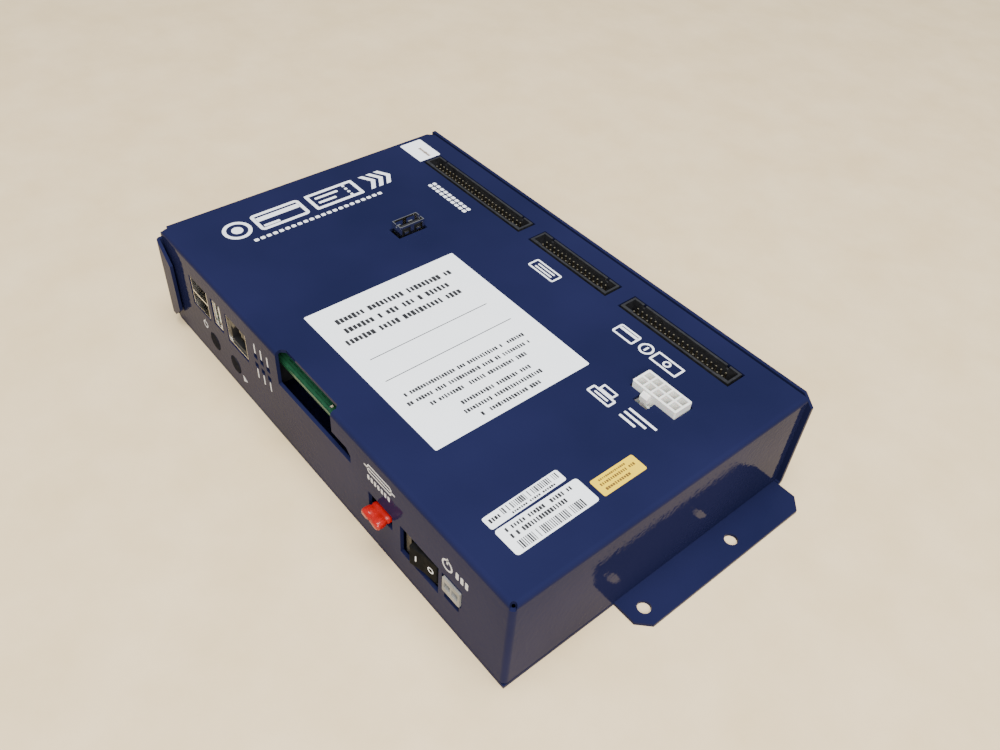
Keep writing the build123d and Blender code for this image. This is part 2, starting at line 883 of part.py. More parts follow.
def fuse_blades():
    """Two flat contact blades of the fuse."""
    root = front - fuse_out + fuse_body[1]
    blades = []
    for side in (-1, 1):
        x = fuse_x + side * blade_x
        tip = block(about(x, blade[0]), (root, root + blade[1]), about(fuse_z, blade[2]))
        blades.append(chamfer(tip.faces().sort_by(Axis.Y)[-1].edges().filter_by(Axis.Z), 0.6))
    return blades


def fuse_holder():
    """Black holder under the power board with two blade slots."""
    face = front - fuse_out + fuse_body[1] + 0.4
    holder = block(about(fuse_x, 14.0), (face, front + 17), (fuse_z - 4.4, power_under))
    for side in (-1, 1):
        x = fuse_x + side * blade_x
        holder -= block(about(x, 4.4), (face - 1, front + 13), about(fuse_z, 3.2))
    return holder


def fuse_clips():
    """Spring clips in the holder, one pair of leaves for each blade."""
    clips = []
    for side in (-1, 1):
        x = fuse_x + side * blade_x
        clip = block(about(x, 3.6), (front + 4.2, front + 12.9), about(fuse_z, 2.8))
        clip -= block(about(x, 4.2), (front + 3, front + 11.4), about(fuse_z, 1.5))
        clips.append(clip)
    return clips


# ---------------------------------------------------------------- power switch


def rocker():
    """Rocker with a shallow V face, tilted to its off position, on two pivot stubs."""
    half = rocker_half
    outline = [
        (-half, -half),
        (0, 0.5 - half),
        (half, -half),
        (half - 0.6, 1.5),
        (3.0, 3.6),
        (-3.0, 3.6),
        (0.6 - half, 1.5),
    ]
    body = plan(outline, about(0, rocker_height))
    body = fillet(body.edges().filter_by(Axis.Z).sort_by(Axis.Y)[0:2], 0.7)
    body += Cylinder(pivot_r, rocker_height + 1.6)
    return Pos(rocker_x, rocker_pivot_y, rocker_z) * Rot(0, 0, rocker_tilt) * body


def rocker_housing():
    """Black switch body with the cavity that the rocker swings in."""
    y = (wall_in + 0.3, front + 18)
    housing = block(about(switch_x, switch_w), y, (rocker_z - 7.4, power_under))
    cavity_z = about(rocker_z, rocker_height + 0.6)
    housing -= block(about(rocker_x, rocker_swing), (y[0] - 1, front + 14), cavity_z)
    bearing = post(rocker_x, rocker_pivot_y, about(rocker_z, rocker_height + 1.8), pivot_r + pivot_fit)
    return housing - bearing


def rocker_terminals():
    """Two flat terminals out of the back of the switch."""
    return [
        block(about(rocker_x + x, 0.8), (front + 18, front + 25), about(rocker_z, 4.8))
        for x in (-5.0, 5.0)
    ]


# ---------------------------------------------------------------- power inlet


def inlet_body():
    """White two-way inlet with two sockets side by side and a latch ramp underneath."""
    y = (front - 0.6, front - 0.6 + inlet_depth)
    body = block(about(inlet_x, inlet_size[0]), y, inlet_z)
    body = chamfer(body.edges().filter_by(Axis.Y), 0.5)
    z = sum(inlet_z) / 2
    for side in (-1, 1):
        body -= block(about(inlet_x + side * 2.1, 3.3), (y[0] - 1, y[1] - 2.5), about(z, 3.3))
    body += block(about(inlet_x, 3.4), (front + 2.2, front + 5.0), (inlet_z[0] - 1.2, inlet_z[0] + 0.2))
    body += block(about(inlet_x, inlet_size[0] - 2), (y[1] - 3.5, y[1]), (inlet_z[1] - 0.2, power_under))
    return body


def inlet_pins():
    """Bent square pins of the inlet, up into the power board."""
    z = sum(inlet_z) / 2
    pins = []
    for side in (-1, 1):
        x = inlet_x + side * 2.1
        straight = block(about(x, 1.0), (front + 2.0, front + 16.0), about(z, 1.0))
        upright = block(about(x, 1.0), (front + 15.0, front + 16.0), (z - 0.5, power_top + 1))
        pins.append(straight + upright)
    return pins


# ---------------------------------------------------------------- parts on the boards


def processor():
    """Square processor package under the main board."""
    return block(about(left + 60, 27), about(front + 74, 27), (board_under - 2.4, board_under))


def heat_sink():
    """Finned heat sink on the processor."""
    top = board_under - 2.4
    base = block(about(left + 60, 30), about(front + 74, 30), (top - 2, top))
    for k in range(8):
        x = left + 60 + (k - 3.5) * 4.0
        base += block(about(x, 1.2), about(front + 74, 30), (top - 9, top - 1))
    return base


def logic_chips():
    """Flat chip packages under the main board."""
    places = [(62, 108, 18, 12), (104, 92, 16, 16), (128, 84, 20, 14), (110, 112, 14, 10), (172, 92, 14, 14),
              (184, 114, 16, 9), (84, 34, 12, 14)]
    return [
        block(about(left + x, w), about(front + y, d), (board_under - 1.6, board_under))
        for x, y, w, d in places
    ]


def capacitors():
    """Round capacitors under the power board and the main board."""
    cans = []
    for x, y, radius, high in ((right - 78, front + 36, 5.0, 16), (right - 64, front + 36, 5.0, 16),
                               (right - 50, front + 46, 4.0, 11)):
        can = post(x, y, (power_under - high, power_under), radius)
        cans.append(fillet(can.edges().sort_by(Axis.Z)[0], 0.8))
    for x, y in ((left + 30, front + 60), (left + 150, back - 40)):
        can = post(x, y, (board_under - 12, board_under), 4.0)
        cans.append(fillet(can.edges().sort_by(Axis.Z)[0], 0.8))
    return cans


def coils():
    """Two toroid coils of the power supply."""
    rings = []
    for x in (right - 34, right - 18):
        ring = Pos(x, front + 36, power_under - 3.2) * (Cylinder(7, 6.4) - Cylinder(3, 8))
        rings.append(ring)
    return rings


def regulators():
    """Flat power regulators under the power board."""
    return [
        block(about(right - x, 10), about(front + 48, 9), (power_under - 4.5, power_under))
        for x in (34, 20)
    ]


def coin_cell_holder():
    """Round holder of the clock's backup cell."""
    x, y = left + 34, back - 38
    holder = post(x, y, (board_under - 4.6, board_under), 12.0)
    return holder - post(x, y, (board_under - 6, board_under - 1.0), 10.2)


def coin_cell():
    """Backup cell in its holder."""
    cell = post(left + 34, back - 38, (board_under - 4.3, board_under - 1.1), 10.0)
    return fillet(cell.edges().sort_by(Axis.Z)[0], 0.4)


def board_link():
    """Spacer block of the pins that join the power board to the main board."""
    body = block(about(right - 48, 5 * pitch), about(front + 24, 2 * pitch), (power_top, board_under))
    for place in link_places():
        body -= block(about(place[0], pin_side), about(place[1], pin_side), (power_top - 1, board_under + 1))
    return body


def link_places():
    """Plan positions of the link pins."""
    return [
        (right - 48 + (k - 2) * pitch, front + 24 + row * pitch)
        for k in range(5)
        for row in (-0.5, 0.5)
    ]


def link_pins():
    """Pins through both boards."""
    return [
        block(about(x, pin_side), about(y, pin_side), (power_under - 1.5, board_top + 1.2))
        for x, y in link_places()
    ]


# ---------------------------------------------------------------- labels


label_t = 0.12


def label(x, y, width, length, corner, turn=0.0):
    """Thin label stuck on the top plate."""
    outline = RectangleRounded(width, length, corner)
    return Pos(x, y, body_h) * Rot(0, 0, turn) * extrude(outline, label_t)


# ---------------------------------------------------------------- the nodes


write(base_pan(), "base_pan")
write(cover(), "cover")
write(main_board(), "main_board")
write(power_board(), "power_board")
write(group(hex_post(x, y, (floor_top, board_under)) for x, y in tall_posts), "board_standoffs")
write(group(power_post(x, y) for x, y in short_posts), "power_board_spacers")
write(group(board_screws()), "board_screws")
write(group(cover_screws()), "cover_screws")
write(group(floor_screw(x, y) for x, y in floor_screw_at), "floor_screws")
write(group(clinch_nuts()), "clinch_nuts")
for name, x, ways in (
    ("keypad", keypad_x, keypad_ways),
    ("display", display_x, display_ways),
    ("payment", payment_x, payment_ways),
):
    write(header_body(x, ways), name + "_header_shroud")
    write(group(header_pins(x, ways)), name + "_header_pins")
write(printer_body(), "printer_connector_body")
write(group(printer_pins()), "printer_connector_pins")
write(stick_shell(), "upright_usb_shell")
write(stick_insert(), "upright_usb_insert")
write(group(stick_contacts()), "upright_usb_contacts")
write(dual_shell(), "stacked_usb_shell")
write(group(dual_inserts()), "stacked_usb_inserts")
write(group(dual_contacts()), "stacked_usb_contacts")
write(side_shell(), "single_usb_shell")
write(side_insert(), "single_usb_insert")
write(jack_shield(), "network_jack_shield")
write(jack_body(), "network_jack_body")
write(group(jack_contacts()), "network_jack_contacts")
write(button_board(), "button_board")
write(group(button_studs()), "button_board_studs")
write(group(button_nuts()), "button_board_nuts")
write(group([button_switch(reset_x), button_switch(test_x)]), "button_switches")
write(button_cap(reset_x), "reset_button")
write(button_cap(test_x), "test_button")
write(button_ribbon(), "button_ribbon")
write(lamp_holder(), "status_lamp_holder")
write(group(lamps()), "status_lamps")
write(card_socket(), "card_socket")
write(storage_card(), "storage_card")
write(fuse_housing(), "fuse_body")
write(group(fuse_blades()), "fuse_blades")
write(fuse_holder(), "fuse_holder")
write(group(fuse_clips()), "fuse_clips")
write(rocker(), "power_rocker")
write(rocker_housing(), "power_switch_housing")
write(group(rocker_terminals()), "power_switch_terminals")
write(inlet_body(), "power_inlet_body")
write(group(inlet_pins()), "power_inlet_pins")
write(processor(), "processor")
write(heat_sink(), "heat_sink")
write(group(logic_chips()), "logic_chips")
write(group(capacitors()), "capacitors")
write(group(coils()), "power_coils")
write(group(regulators()), "power_regulators")
write(coin_cell_holder(), "backup_cell_holder")
write(coin_cell(), "backup_cell")
write(board_link(), "board_link_block")
write(group(link_pins()), "board_link_pins")
write(group([
    label(left + 132.6, front + 57.1, 88.0, 75.2, 1.0),
    label(left + 211.6, front + 30.6, 5.6, 34.4, 1.2, 1.5),
    label(left + 221.5, front + 32.2, 12.0, 37.3, 1.8, 0.4),
    label(left + 223.5, front + 63.6, 8.0, 21.0, 1.8),
    label(left + 11.0, front + 134.5, 17.6, 12.6, 0.5),
]), "labels")
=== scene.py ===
import json
import math

import bmesh
import bpy
from mathutils import Matrix, Vector


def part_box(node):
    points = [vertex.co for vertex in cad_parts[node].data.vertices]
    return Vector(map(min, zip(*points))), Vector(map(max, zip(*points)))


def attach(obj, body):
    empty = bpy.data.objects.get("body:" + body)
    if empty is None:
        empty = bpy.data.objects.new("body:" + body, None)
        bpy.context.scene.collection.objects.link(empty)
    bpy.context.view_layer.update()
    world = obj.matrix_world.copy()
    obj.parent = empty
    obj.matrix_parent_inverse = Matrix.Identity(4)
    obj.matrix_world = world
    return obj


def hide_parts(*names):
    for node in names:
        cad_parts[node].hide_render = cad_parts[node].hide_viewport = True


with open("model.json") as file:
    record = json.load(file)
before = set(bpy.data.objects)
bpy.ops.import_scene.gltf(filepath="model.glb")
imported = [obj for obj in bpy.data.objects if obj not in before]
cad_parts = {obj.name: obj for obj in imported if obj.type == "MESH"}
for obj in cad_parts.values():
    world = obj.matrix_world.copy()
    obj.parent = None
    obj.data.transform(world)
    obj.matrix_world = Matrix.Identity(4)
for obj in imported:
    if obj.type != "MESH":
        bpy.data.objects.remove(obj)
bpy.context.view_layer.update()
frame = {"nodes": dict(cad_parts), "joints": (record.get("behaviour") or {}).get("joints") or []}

# Looks of a pay station's controller unit: powder-coated case, stickers, screen print and moulded parts.
# Metres. +X runs along the case towards the mounting flange, +Y from the port wall to the back wall.

MM = 0.001
BAR_CODE_GAPS = 0.1
SHORTEST_LETTER = 0.72
cover_low, cover_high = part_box("cover")
LEFT, RIGHT = cover_low.x, cover_high.x
FRONT, TOP = cover_low.y, cover_high.z
ALONG_X, ALONG_Y, UP = Vector((1, 0, 0)), Vector((0, 1, 0)), Vector((0, 0, 1))


# ---------------------------------------------------------------- shader nodes


class Finish:
    """A node material that is put together step by step."""

    def __init__(self, name, **constants):
        self.material = bpy.data.materials.new(name)
        self.material.use_nodes = True
        self.tree = self.material.node_tree
        self.shader = self.tree.nodes["Principled BSDF"]
        self.place = self.add("ShaderNodeTexCoord").outputs["Object"]
        for socket, value in constants.items():
            self.shader.inputs[socket.replace("_", " ")].default_value = value

    def add(self, kind, inputs=(), **settings):
        """Adds a node; inputs is a list of socket and value pairs, where a value may be a socket."""
        node = self.tree.nodes.new(kind)
        for key, value in settings.items():
            setattr(node, key, value)
        for socket, value in inputs:
            if isinstance(value, bpy.types.NodeSocket):
                self.tree.links.new(value, node.inputs[socket])
            else:
                node.inputs[socket].default_value = value
        return node

    def stretched(self, scale):
        """Object coordinates, stretched along the axes."""
        return self.add("ShaderNodeMapping", [("Vector", self.place), ("Scale", scale)]).outputs["Vector"]

    def noise(self, scale, detail=2.0, roughness=0.5, stretch=None):
        """Noise from 0 to 1, with about so many lumps to the metre."""
        vector = self.place if stretch is None else self.stretched(stretch)
        inputs = [("Vector", vector), ("Scale", scale), ("Detail", detail), ("Roughness", roughness)]
        return self.add("ShaderNodeTexNoise", inputs).outputs["Fac"]

    def cells(self, scale, feature="F1"):
        """Distance pattern of scattered cells."""
        node = self.add("ShaderNodeTexVoronoi", [("Vector", self.place), ("Scale", scale)], feature=feature)
        return node.outputs["Distance"]

    def bands(self, scale, axis, distortion=0.0):
        """Parallel bands across an axis."""
        inputs = [("Vector", self.place), ("Scale", scale), ("Distortion", distortion)]
        return self.add("ShaderNodeTexWave", inputs, bands_direction=axis).outputs["Fac"]

    def span(self, value, low, high, into=(0.0, 1.0)):
        """Maps low..high of a value into another range."""
        inputs = [
            ("Value", value), ("From Min", low), ("From Max", high),
            ("To Min", into[0]), ("To Max", into[1]),
        ]
        return self.add("ShaderNodeMapRange", inputs).outputs["Result"]

    def mix(self, factor, first, second):
        """Colour between two colours."""
        first = (*first, 1.0) if isinstance(first, tuple) else first
        second = (*second, 1.0) if isinstance(second, tuple) else second
        node = self.add("ShaderNodeMix", data_type="RGBA")
        for index, value in ((0, factor), (6, first), (7, second)):
            if isinstance(value, bpy.types.NodeSocket):
                self.tree.links.new(value, node.inputs[index])
            else:
                node.inputs[index].default_value = value
        return node.outputs[2]

    def colour(self, socket):
        self.tree.links.new(socket, self.shader.inputs["Base Color"])

    def rough(self, socket):
        self.tree.links.new(socket, self.shader.inputs["Roughness"])

    def relief(self, *layers):
        """Bump from layers of (height, strength, depth in metres)."""
        normal = None
        for height, strength, depth in layers:
            inputs = [("Height", height), ("Strength", strength), ("Distance", depth)]
            if normal is not None:
                inputs.append(("Normal", normal))
            normal = self.add("ShaderNodeBump", inputs).outputs["Normal"]
        self.tree.links.new(normal, self.shader.inputs["Normal"])


def plain_finish(name, dark, light, rough, mottle=300.0, grain=4000.0, depth=4e-6, **constants):
    """Finish with mottled colour, uneven gloss and a fine grain."""
    finish = Finish(name, **constants)
    patches = finish.noise(mottle, 4.0, 0.6)
    finish.colour(finish.mix(finish.span(patches, 0.3, 0.7), dark, light))
    finish.rough(finish.span(finish.noise(mottle * 2.3, 3.0), 0.3, 0.7, rough))
    finish.relief((finish.noise(grain, 3.0, 0.6), 0.6, depth))
    return finish.material


def powder_coat():
    """Glossy navy powder coat: orange peel, a faint flake and fine handling scratches."""
    finish = Finish("navy_powder_coat", IOR=1.08)
    drift = finish.span(finish.noise(14.0, 3.0), 0.35, 0.65)
    body = finish.mix(drift, (0.0088, 0.0105, 0.037), (0.0116, 0.0132, 0.046))
    speck = finish.span(finish.noise(2600.0, 2.0), 0.68, 0.82, (0.0, 0.4))
    body = finish.mix(speck, body, (0.012, 0.018, 0.085))
    scratch = finish.noise(60.0, 6.0, 0.75, (1.0, 30.0, 30.0))
    line = finish.span(scratch, 0.76, 0.82, (0.0, 0.25))
    finish.colour(finish.mix(line, body, (0.03, 0.04, 0.10)))
    finish.rough(finish.span(finish.noise(55.0, 4.0, 0.6), 0.3, 0.75, (0.025, 0.06)))
    finish.relief((finish.noise(560.0, 1.5, 0.45), 1.0, 5.0e-5), (finish.noise(1500.0, 1.0), 0.4, 3e-6))
    return finish.material


def brushed_metal(name, dark, light, rough, along=(1.0, 1.0, 30.0), **constants):
    """Plated or drawn metal with fine lines along one way."""
    finish = Finish(name, Metallic=1.0, **constants)
    lines = finish.noise(900.0, 5.0, 0.6, along)
    finish.colour(finish.mix(finish.span(finish.noise(180.0, 4.0), 0.3, 0.7), dark, light))
    finish.rough(finish.span(lines, 0.25, 0.75, rough))
    finish.relief((lines, 0.35, 3e-6), (finish.noise(2500.0, 2.0), 0.3, 2e-6))
    return finish.material


def solder_mask():
    """Green board: tracks under the lacquer and a woven core."""
    finish = Finish("green_solder_mask", Coat_Weight=0.5, Coat_Roughness=0.12)
    tracks = finish.add("ShaderNodeTexBrick", [
        ("Vector", finish.place), ("Scale", 240.0), ("Mortar Size", 0.14), ("Mortar Smooth", 0.05),
        ("Brick Width", 1.6), ("Row Height", 0.33),
    ], offset=0.37, squash=0.6, squash_frequency=3).outputs["Fac"]
    patches = finish.span(finish.noise(90.0, 4.0), 0.3, 0.7)
    ground = finish.mix(patches, (0.002, 0.013, 0.007), (0.004, 0.021, 0.011))
    track = finish.mix(finish.noise(400.0), (0.009, 0.062, 0.028), (0.014, 0.082, 0.037))
    finish.colour(finish.mix(tracks, ground, track))
    finish.rough(finish.span(finish.noise(300.0), 0.3, 0.7, (0.30, 0.45)))
    weave = finish.bands(1500.0, "X")
    finish.relief((tracks, 0.5, 2.5e-5), (weave, 0.15, 4e-6))
    return finish.material


def ribbed(name, dark, light, rough, scale, axis, depth, **constants):
    """Finish with parallel ribs: flat cable, coil windings; the colour is darker in the grooves, painted
    shade between the ribs.
    """
    finish = Finish(name, **constants)
    ribs = finish.bands(scale, axis, 0.3)
    # Painted shade: the dark colour lies in the grooves between the ribs and the light colour on their
    # crests.
    finish.colour(finish.mix(finish.span(ribs, 0.1, 0.6), dark, light))
    finish.rough(finish.span(finish.noise(400.0, 3.0), 0.3, 0.7, rough))
    finish.relief((ribs, 0.8, depth), (finish.noise(3000.0), 0.3, 2e-6))
    return finish.material


def sticker_stock(name, dark, light, rough):
    """Coated label stock: paper fibre under a thin film, with slight soiling."""
    finish = Finish(name, Coat_Weight=0.15, Coat_Roughness=0.3)
    soil = finish.span(finish.noise(60.0, 5.0, 0.65), 0.35, 0.75)
    fibre = finish.noise(1800.0, 5.0, 0.7, (1.0, 2.4, 1.0))
    finish.colour(finish.mix(finish.span(fibre, 0.2, 0.8, (0.0, 0.4)), finish.mix(soil, light, dark), dark))
    finish.rough(finish.span(fibre, 0.3, 0.7, rough))
    finish.relief((fibre, 0.3, 3e-6), (finish.noise(120.0), 0.4, 1.5e-5))
    return finish.material


def ink(name, dark, light, rough=(0.35, 0.5)):
    """Screen-print or toner, slightly broken at its edges."""
    finish = Finish(name)
    wear = finish.span(finish.noise(1100.0, 5.0, 0.7), 0.35, 0.7)
    finish.colour(finish.mix(wear, dark, light))
    finish.rough(finish.span(finish.noise(700.0), 0.3, 0.7, rough))
    finish.relief((finish.noise(3200.0, 3.0), 0.4, 3e-6))
    return finish.material


def fuse_plastic():
    """Clear red moulding with slight flow lines."""
    finish = Finish("clear_red_plastic", Transmission_Weight=0.35, IOR=1.45, Specular_IOR_Level=0.3)
    flow = finish.span(finish.noise(350.0, 4.0, 0.6, (1.0, 1.0, 3.0)), 0.3, 0.7)
    finish.colour(finish.mix(flow, (0.42, 0.008, 0.006), (0.52, 0.014, 0.010)))
    finish.rough(finish.span(finish.noise(900.0), 0.3, 0.7, (0.16, 0.30)))
    finish.relief((finish.noise(900.0, 1.0), 0.3, 3e-6))
    return finish.material


def lamp_lens():
    """Tinted lamp lenses, some green and some amber."""
    finish = Finish("tinted_lens", Transmission_Weight=0.4, IOR=1.5)
    tint = finish.span(finish.noise(150.0, 0.0), 0.48, 0.52)
    finish.colour(finish.mix(tint, (0.05, 0.24, 0.08), (0.32, 0.20, 0.04)))
    finish.rough(finish.span(finish.noise(1500.0), 0.3, 0.7, (0.25, 0.4)))
    finish.relief((finish.cells(2200.0), 0.5, 1e-5))
    return finish.material


coat = powder_coat()
edge_black = plain_finish(
    "black_zinc",
    (0.012, 0.012, 0.014), (0.030, 0.030, 0.034), (0.30, 0.5), Metallic=0.8,
)
zinc = brushed_metal("bright_zinc", (0.50, 0.51, 0.52), (0.66, 0.67, 0.66), (0.22, 0.42))
nickel = brushed_metal("nickel_plate", (0.62, 0.60, 0.56), (0.80, 0.79, 0.76), (0.14, 0.30), (1.0, 14.0, 1.0))
gold = brushed_metal("gold_flash", (0.62, 0.52, 0.34), (0.80, 0.70, 0.48), (0.16, 0.32))
tin = brushed_metal("tin_plate", (0.56, 0.56, 0.54), (0.74, 0.74, 0.71), (0.24, 0.42))
brass = brushed_metal("spring_brass", (0.52, 0.36, 0.13), (0.74, 0.55, 0.24), (0.24, 0.44))
sink = brushed_metal("drawn_aluminium", (0.44, 0.45, 0.46), (0.62, 0.63, 0.64), (0.32, 0.5), (30.0, 1.0, 1.0))
cell_can = brushed_metal("cell_can", (0.55, 0.55, 0.53), (0.72, 0.72, 0.70), (0.18, 0.34))
board = solder_mask()
black_body = plain_finish(
    "black_polyester",
    (0.006, 0.006, 0.007), (0.015, 0.015, 0.016), (0.38, 0.58), 240.0,
)
rim_body = plain_finish("header_polyester", (0.008, 0.008, 0.009), (0.020, 0.020, 0.022), (0.30, 0.46), 320.0)
nylon = plain_finish(
    "natural_nylon", (0.74, 0.73, 0.68), (0.87, 0.86, 0.81), (0.34, 0.5), 160.0, 2600.0, 5e-6,
    Subsurface_Weight=0.12, Subsurface_Scale=0.001,
)
rubber = plain_finish(
    "button_rubber",
    (0.008, 0.008, 0.010), (0.018, 0.018, 0.022), (0.62, 0.8), 500.0, 5200.0, 8e-6,
    IOR=1.04,
)
satin = plain_finish(
    "rocker_satin",
    (0.006, 0.006, 0.006), (0.012, 0.012, 0.012), (0.28, 0.4), 400.0, 5200.0,
    IOR=1.04,
)
package = plain_finish(
    "chip_package",
    (0.016, 0.016, 0.018), (0.036, 0.036, 0.039), (0.5, 0.68), 700.0, 6000.0,
)
card_body = plain_finish("card_frame", (0.22, 0.23, 0.25), (0.32, 0.33, 0.35), (0.4, 0.55), 300.0)
sleeve = plain_finish("can_sleeve", (0.018, 0.030, 0.085), (0.030, 0.050, 0.13), (0.22, 0.36), 200.0)
ceramic = plain_finish("chip_ceramic", (0.50, 0.42, 0.30), (0.66, 0.58, 0.44), (0.4, 0.55), 900.0)
# Windings and flat cable: the darker colour in the grooves between turns and wires is painted shade.
winding = ribbed(
    "enamelled_copper",
    (0.30, 0.10, 0.04), (0.66, 0.30, 0.13), (0.22, 0.38), 420.0, "Z", 1.2e-4, Metallic=1.0,
)
cable = ribbed("flat_cable", (0.22, 0.23, 0.25), (0.42, 0.43, 0.46), (0.42, 0.56), 250.0, "X", 9e-5)
white_stock = sticker_stock("white_label_stock", (0.88, 0.92, 0.95), (0.93, 0.95, 0.97), (0.42, 0.6))
yellow_stock = sticker_stock("yellow_label_stock", (0.80, 0.53, 0.000), (0.88, 0.60, 0.001), (0.42, 0.6))
white_ink = ink("white_screen_print", (0.74, 0.76, 0.80), (0.90, 0.92, 0.95))
grey_ink = ink("grey_screen_print", (0.50, 0.51, 0.55), (0.70, 0.71, 0.75))
black_ink = ink("label_toner", (0.008, 0.008, 0.009), (0.024, 0.024, 0.027))
rust_ink = ink("label_rust_ink", (0.10, 0.05, 0.01), (0.18, 0.09, 0.02))
inlet_nylon = plain_finish(
    "inlet_nylon",
    (0.18, 0.18, 0.17), (0.25, 0.25, 0.235), (0.4, 0.55), 160.0, 2600.0, 5e-6,
)
lens = lamp_lens()
red_plastic = fuse_plastic()

DRESS = {
    coat: ["base_pan", "cover"],
    edge_black: ["cover_screws", "floor_screws"],
    zinc: ["board_standoffs", "power_board_spacers", "board_screws", "clinch_nuts", "button_board_studs",
           "button_board_nuts"],
    nickel: ["upright_usb_shell", "stacked_usb_shell", "single_usb_shell", "network_jack_shield"],
    gold: ["keypad_header_pins", "display_header_pins", "payment_header_pins", "upright_usb_contacts",
           "stacked_usb_contacts", "network_jack_contacts", "board_link_pins"],
    tin: ["printer_connector_pins", "power_inlet_pins", "fuse_blades"],
    brass: ["fuse_clips", "power_switch_terminals"],
    sink: ["heat_sink"],
    cell_can: ["backup_cell"],
    board: ["main_board", "power_board", "button_board"],
    rim_body: ["keypad_header_shroud", "display_header_shroud", "payment_header_shroud"],
    black_body: ["upright_usb_insert", "stacked_usb_inserts", "single_usb_insert", "network_jack_body",
                 "button_switches", "status_lamp_holder", "card_socket",
                 "fuse_holder", "power_switch_housing", "backup_cell_holder", "board_link_block"],
    nylon: ["printer_connector_body"],
    inlet_nylon: ["power_inlet_body"],
    rubber: ["reset_button", "test_button"],
    satin: ["power_rocker"],
    package: ["processor", "logic_chips", "power_regulators"],
    card_body: ["storage_card"],
    sleeve: ["capacitors"],
    winding: ["power_coils"],
    cable: ["button_ribbon"],
    lens: ["status_lamps"],
    red_plastic: ["fuse_body"],
    white_stock: ["labels"],
}


def dress(node, finish):
    """Gives a frame node its finish."""
    mesh = frame["nodes"][node].data
    mesh.materials.clear()
    mesh.materials.append(finish)


for finish, nodes in DRESS.items():
    for node in nodes:
        dress(node, finish)


# ---------------------------------------------------------------- mesh helpers


def facing(origin, along, up):
    """Placement of a flat drawing: its X runs along, its Y runs up and its Z faces out."""
    out = along.cross(up)
    return Matrix((
        (along.x, up.x, out.x, origin[0]),
        (along.y, up.y, out.y, origin[1]),
        (along.z, up.z, out.z, origin[2]),
        (0, 0, 0, 1),
    ))


def on_top(x, y, turn=0.0, lift=0.0):
    """Placement on the top plate that reads along X; sizes in millimetres from the near left corner."""
    place = facing((LEFT + x * MM, FRONT + y * MM, TOP + lift * MM), ALONG_X, ALONG_Y)
    return place @ Matrix.Rotation(math.radians(turn), 4, "Z")


def on_top_sideways(x, y, turn=0.0, lift=0.0):
    """Placement on the top plate that reads along Y."""
    place = facing((LEFT + x * MM, FRONT + y * MM, TOP + lift * MM), ALONG_Y, -ALONG_X)
    return place @ Matrix.Rotation(math.radians(turn), 4, "Z")


def rounded(width, height, radius, steps=5):
    """Outline of a rounded rectangle, anticlockwise."""
    points = []
    corners = ((1, 1, 0), (-1, 1, 90), (-1, -1, 180), (1, -1, 270))
    for sx, sy, start in corners:
        cx = sx * (width / 2 - radius)
        cy = sy * (height / 2 - radius)
        for k in range(steps + 1):
            angle = math.radians(start + 90 * k / steps)
            points.append((cx + radius * math.cos(angle), cy + radius * math.sin(angle)))
    return points


def disc(radius, steps=40):
    """Outline of a circle."""
    angles = [2 * math.pi * k / steps for k in range(steps)]
    return [(radius * math.cos(angle), radius * math.sin(angle)) for angle in angles]


class Drawing:
    """Flat shapes in millimetres, raised by an ink's or a label's thickness."""

    def __init__(self, thickness):
        self.bm = bmesh.new()
        self.thickness = thickness

    def loop(self, outline, at, z):
        return [self.bm.verts.new((x + at[0], y + at[1], z)) for x, y in outline]

    def solid(self, outline, at=(0, 0)):
        """Filled shape with its outline."""
        low = self.loop(outline, at, 0.0)
        high = self.loop(outline, at, self.thickness)
        self.bm.faces.new(high)
        self.bm.faces.new(low[::-1])
        self.sides(low, high)

    def sides(self, low, high):
        count = len(low)
        for k in range(count):
            after = (k + 1) % count
            self.bm.faces.new((low[k], low[after], high[after], high[k]))

    def ring(self, outer, inner, at=(0, 0)):
        """Shape between an outer and an inner outline with as many points."""
        outer_low = self.loop(outer, at, 0.0)
        outer_high = self.loop(outer, at, self.thickness)
        inner_low = self.loop(inner, at, 0.0)
        inner_high = self.loop(inner, at, self.thickness)
        self.sides(outer_low, outer_high)
        self.sides(inner_high, inner_low)
        self.sides(outer_high, inner_high)
        self.sides(inner_low, outer_low)

    def bar(self, width, height, at=(0, 0)):
        """Bar with slightly rounded ends."""
        self.solid(rounded(width, height, min(width, height) * 0.28, 3), at)

    def frame(self, width, height, radius, line, at=(0, 0)):
        """Outlined rounded rectangle."""
        inner = rounded(width - 2 * line, height - 2 * line, max(radius - line, 0.05))
        self.ring(rounded(width, height, radius), inner, at)

    def piece(self, name, finish, place, body="case", slot=None):
        """Turns the drawing into a piece that rides on a body."""
        self.bm.transform(place @ Matrix.Scale(MM, 4))
        return piece_from(self.bm, name, finish, body)


def piece_from(bm, name, finish, body="case", smooth=False):
    """Makes a piece of a mesh under construction and lets it ride on a body."""
    mesh = bpy.data.meshes.new(name)
    bmesh.ops.recalc_face_normals(bm, faces=bm.faces)
    bm.to_mesh(mesh)
    bm.free()
    return piece_of(mesh, name, finish, body, smooth)


def piece_of(mesh, name, finish, body="case", smooth=False):
    """Makes a piece of a finished mesh."""
    mesh.materials.clear()
    mesh.materials.append(finish)
    for face in mesh.polygons:
        face.use_smooth = smooth
        face.material_index = 0
    thing = bpy.data.objects.new(name, mesh)
    bpy.context.scene.collection.objects.link(thing)
    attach(thing, body)
    return thing


def solids_of(node):
    """Boxes of the separate solids of a frame node, as (low corner, high corner)."""
    bm = bmesh.new()
    bm.from_mesh(frame["nodes"][node].data)
    bmesh.ops.remove_doubles(bm, verts=bm.verts, dist=1e-6)
    seen = set()
    boxes = []
    for start in bm.verts:
        if start in seen:
            continue
        seen.add(start)
        island = [start]
        for vert in island:
            for edge in vert.link_edges:
                other = edge.other_vert(vert)
                if other not in seen:
                    seen.add(other)
                    island.append(other)
        places = [v.co for v in island]
        low = Vector([min(p[i] for p in places) for i in range(3)])
        high = Vector([max(p[i] for p in places) for i in range(3)])
        boxes.append((low, high))
    bm.free()
    return boxes


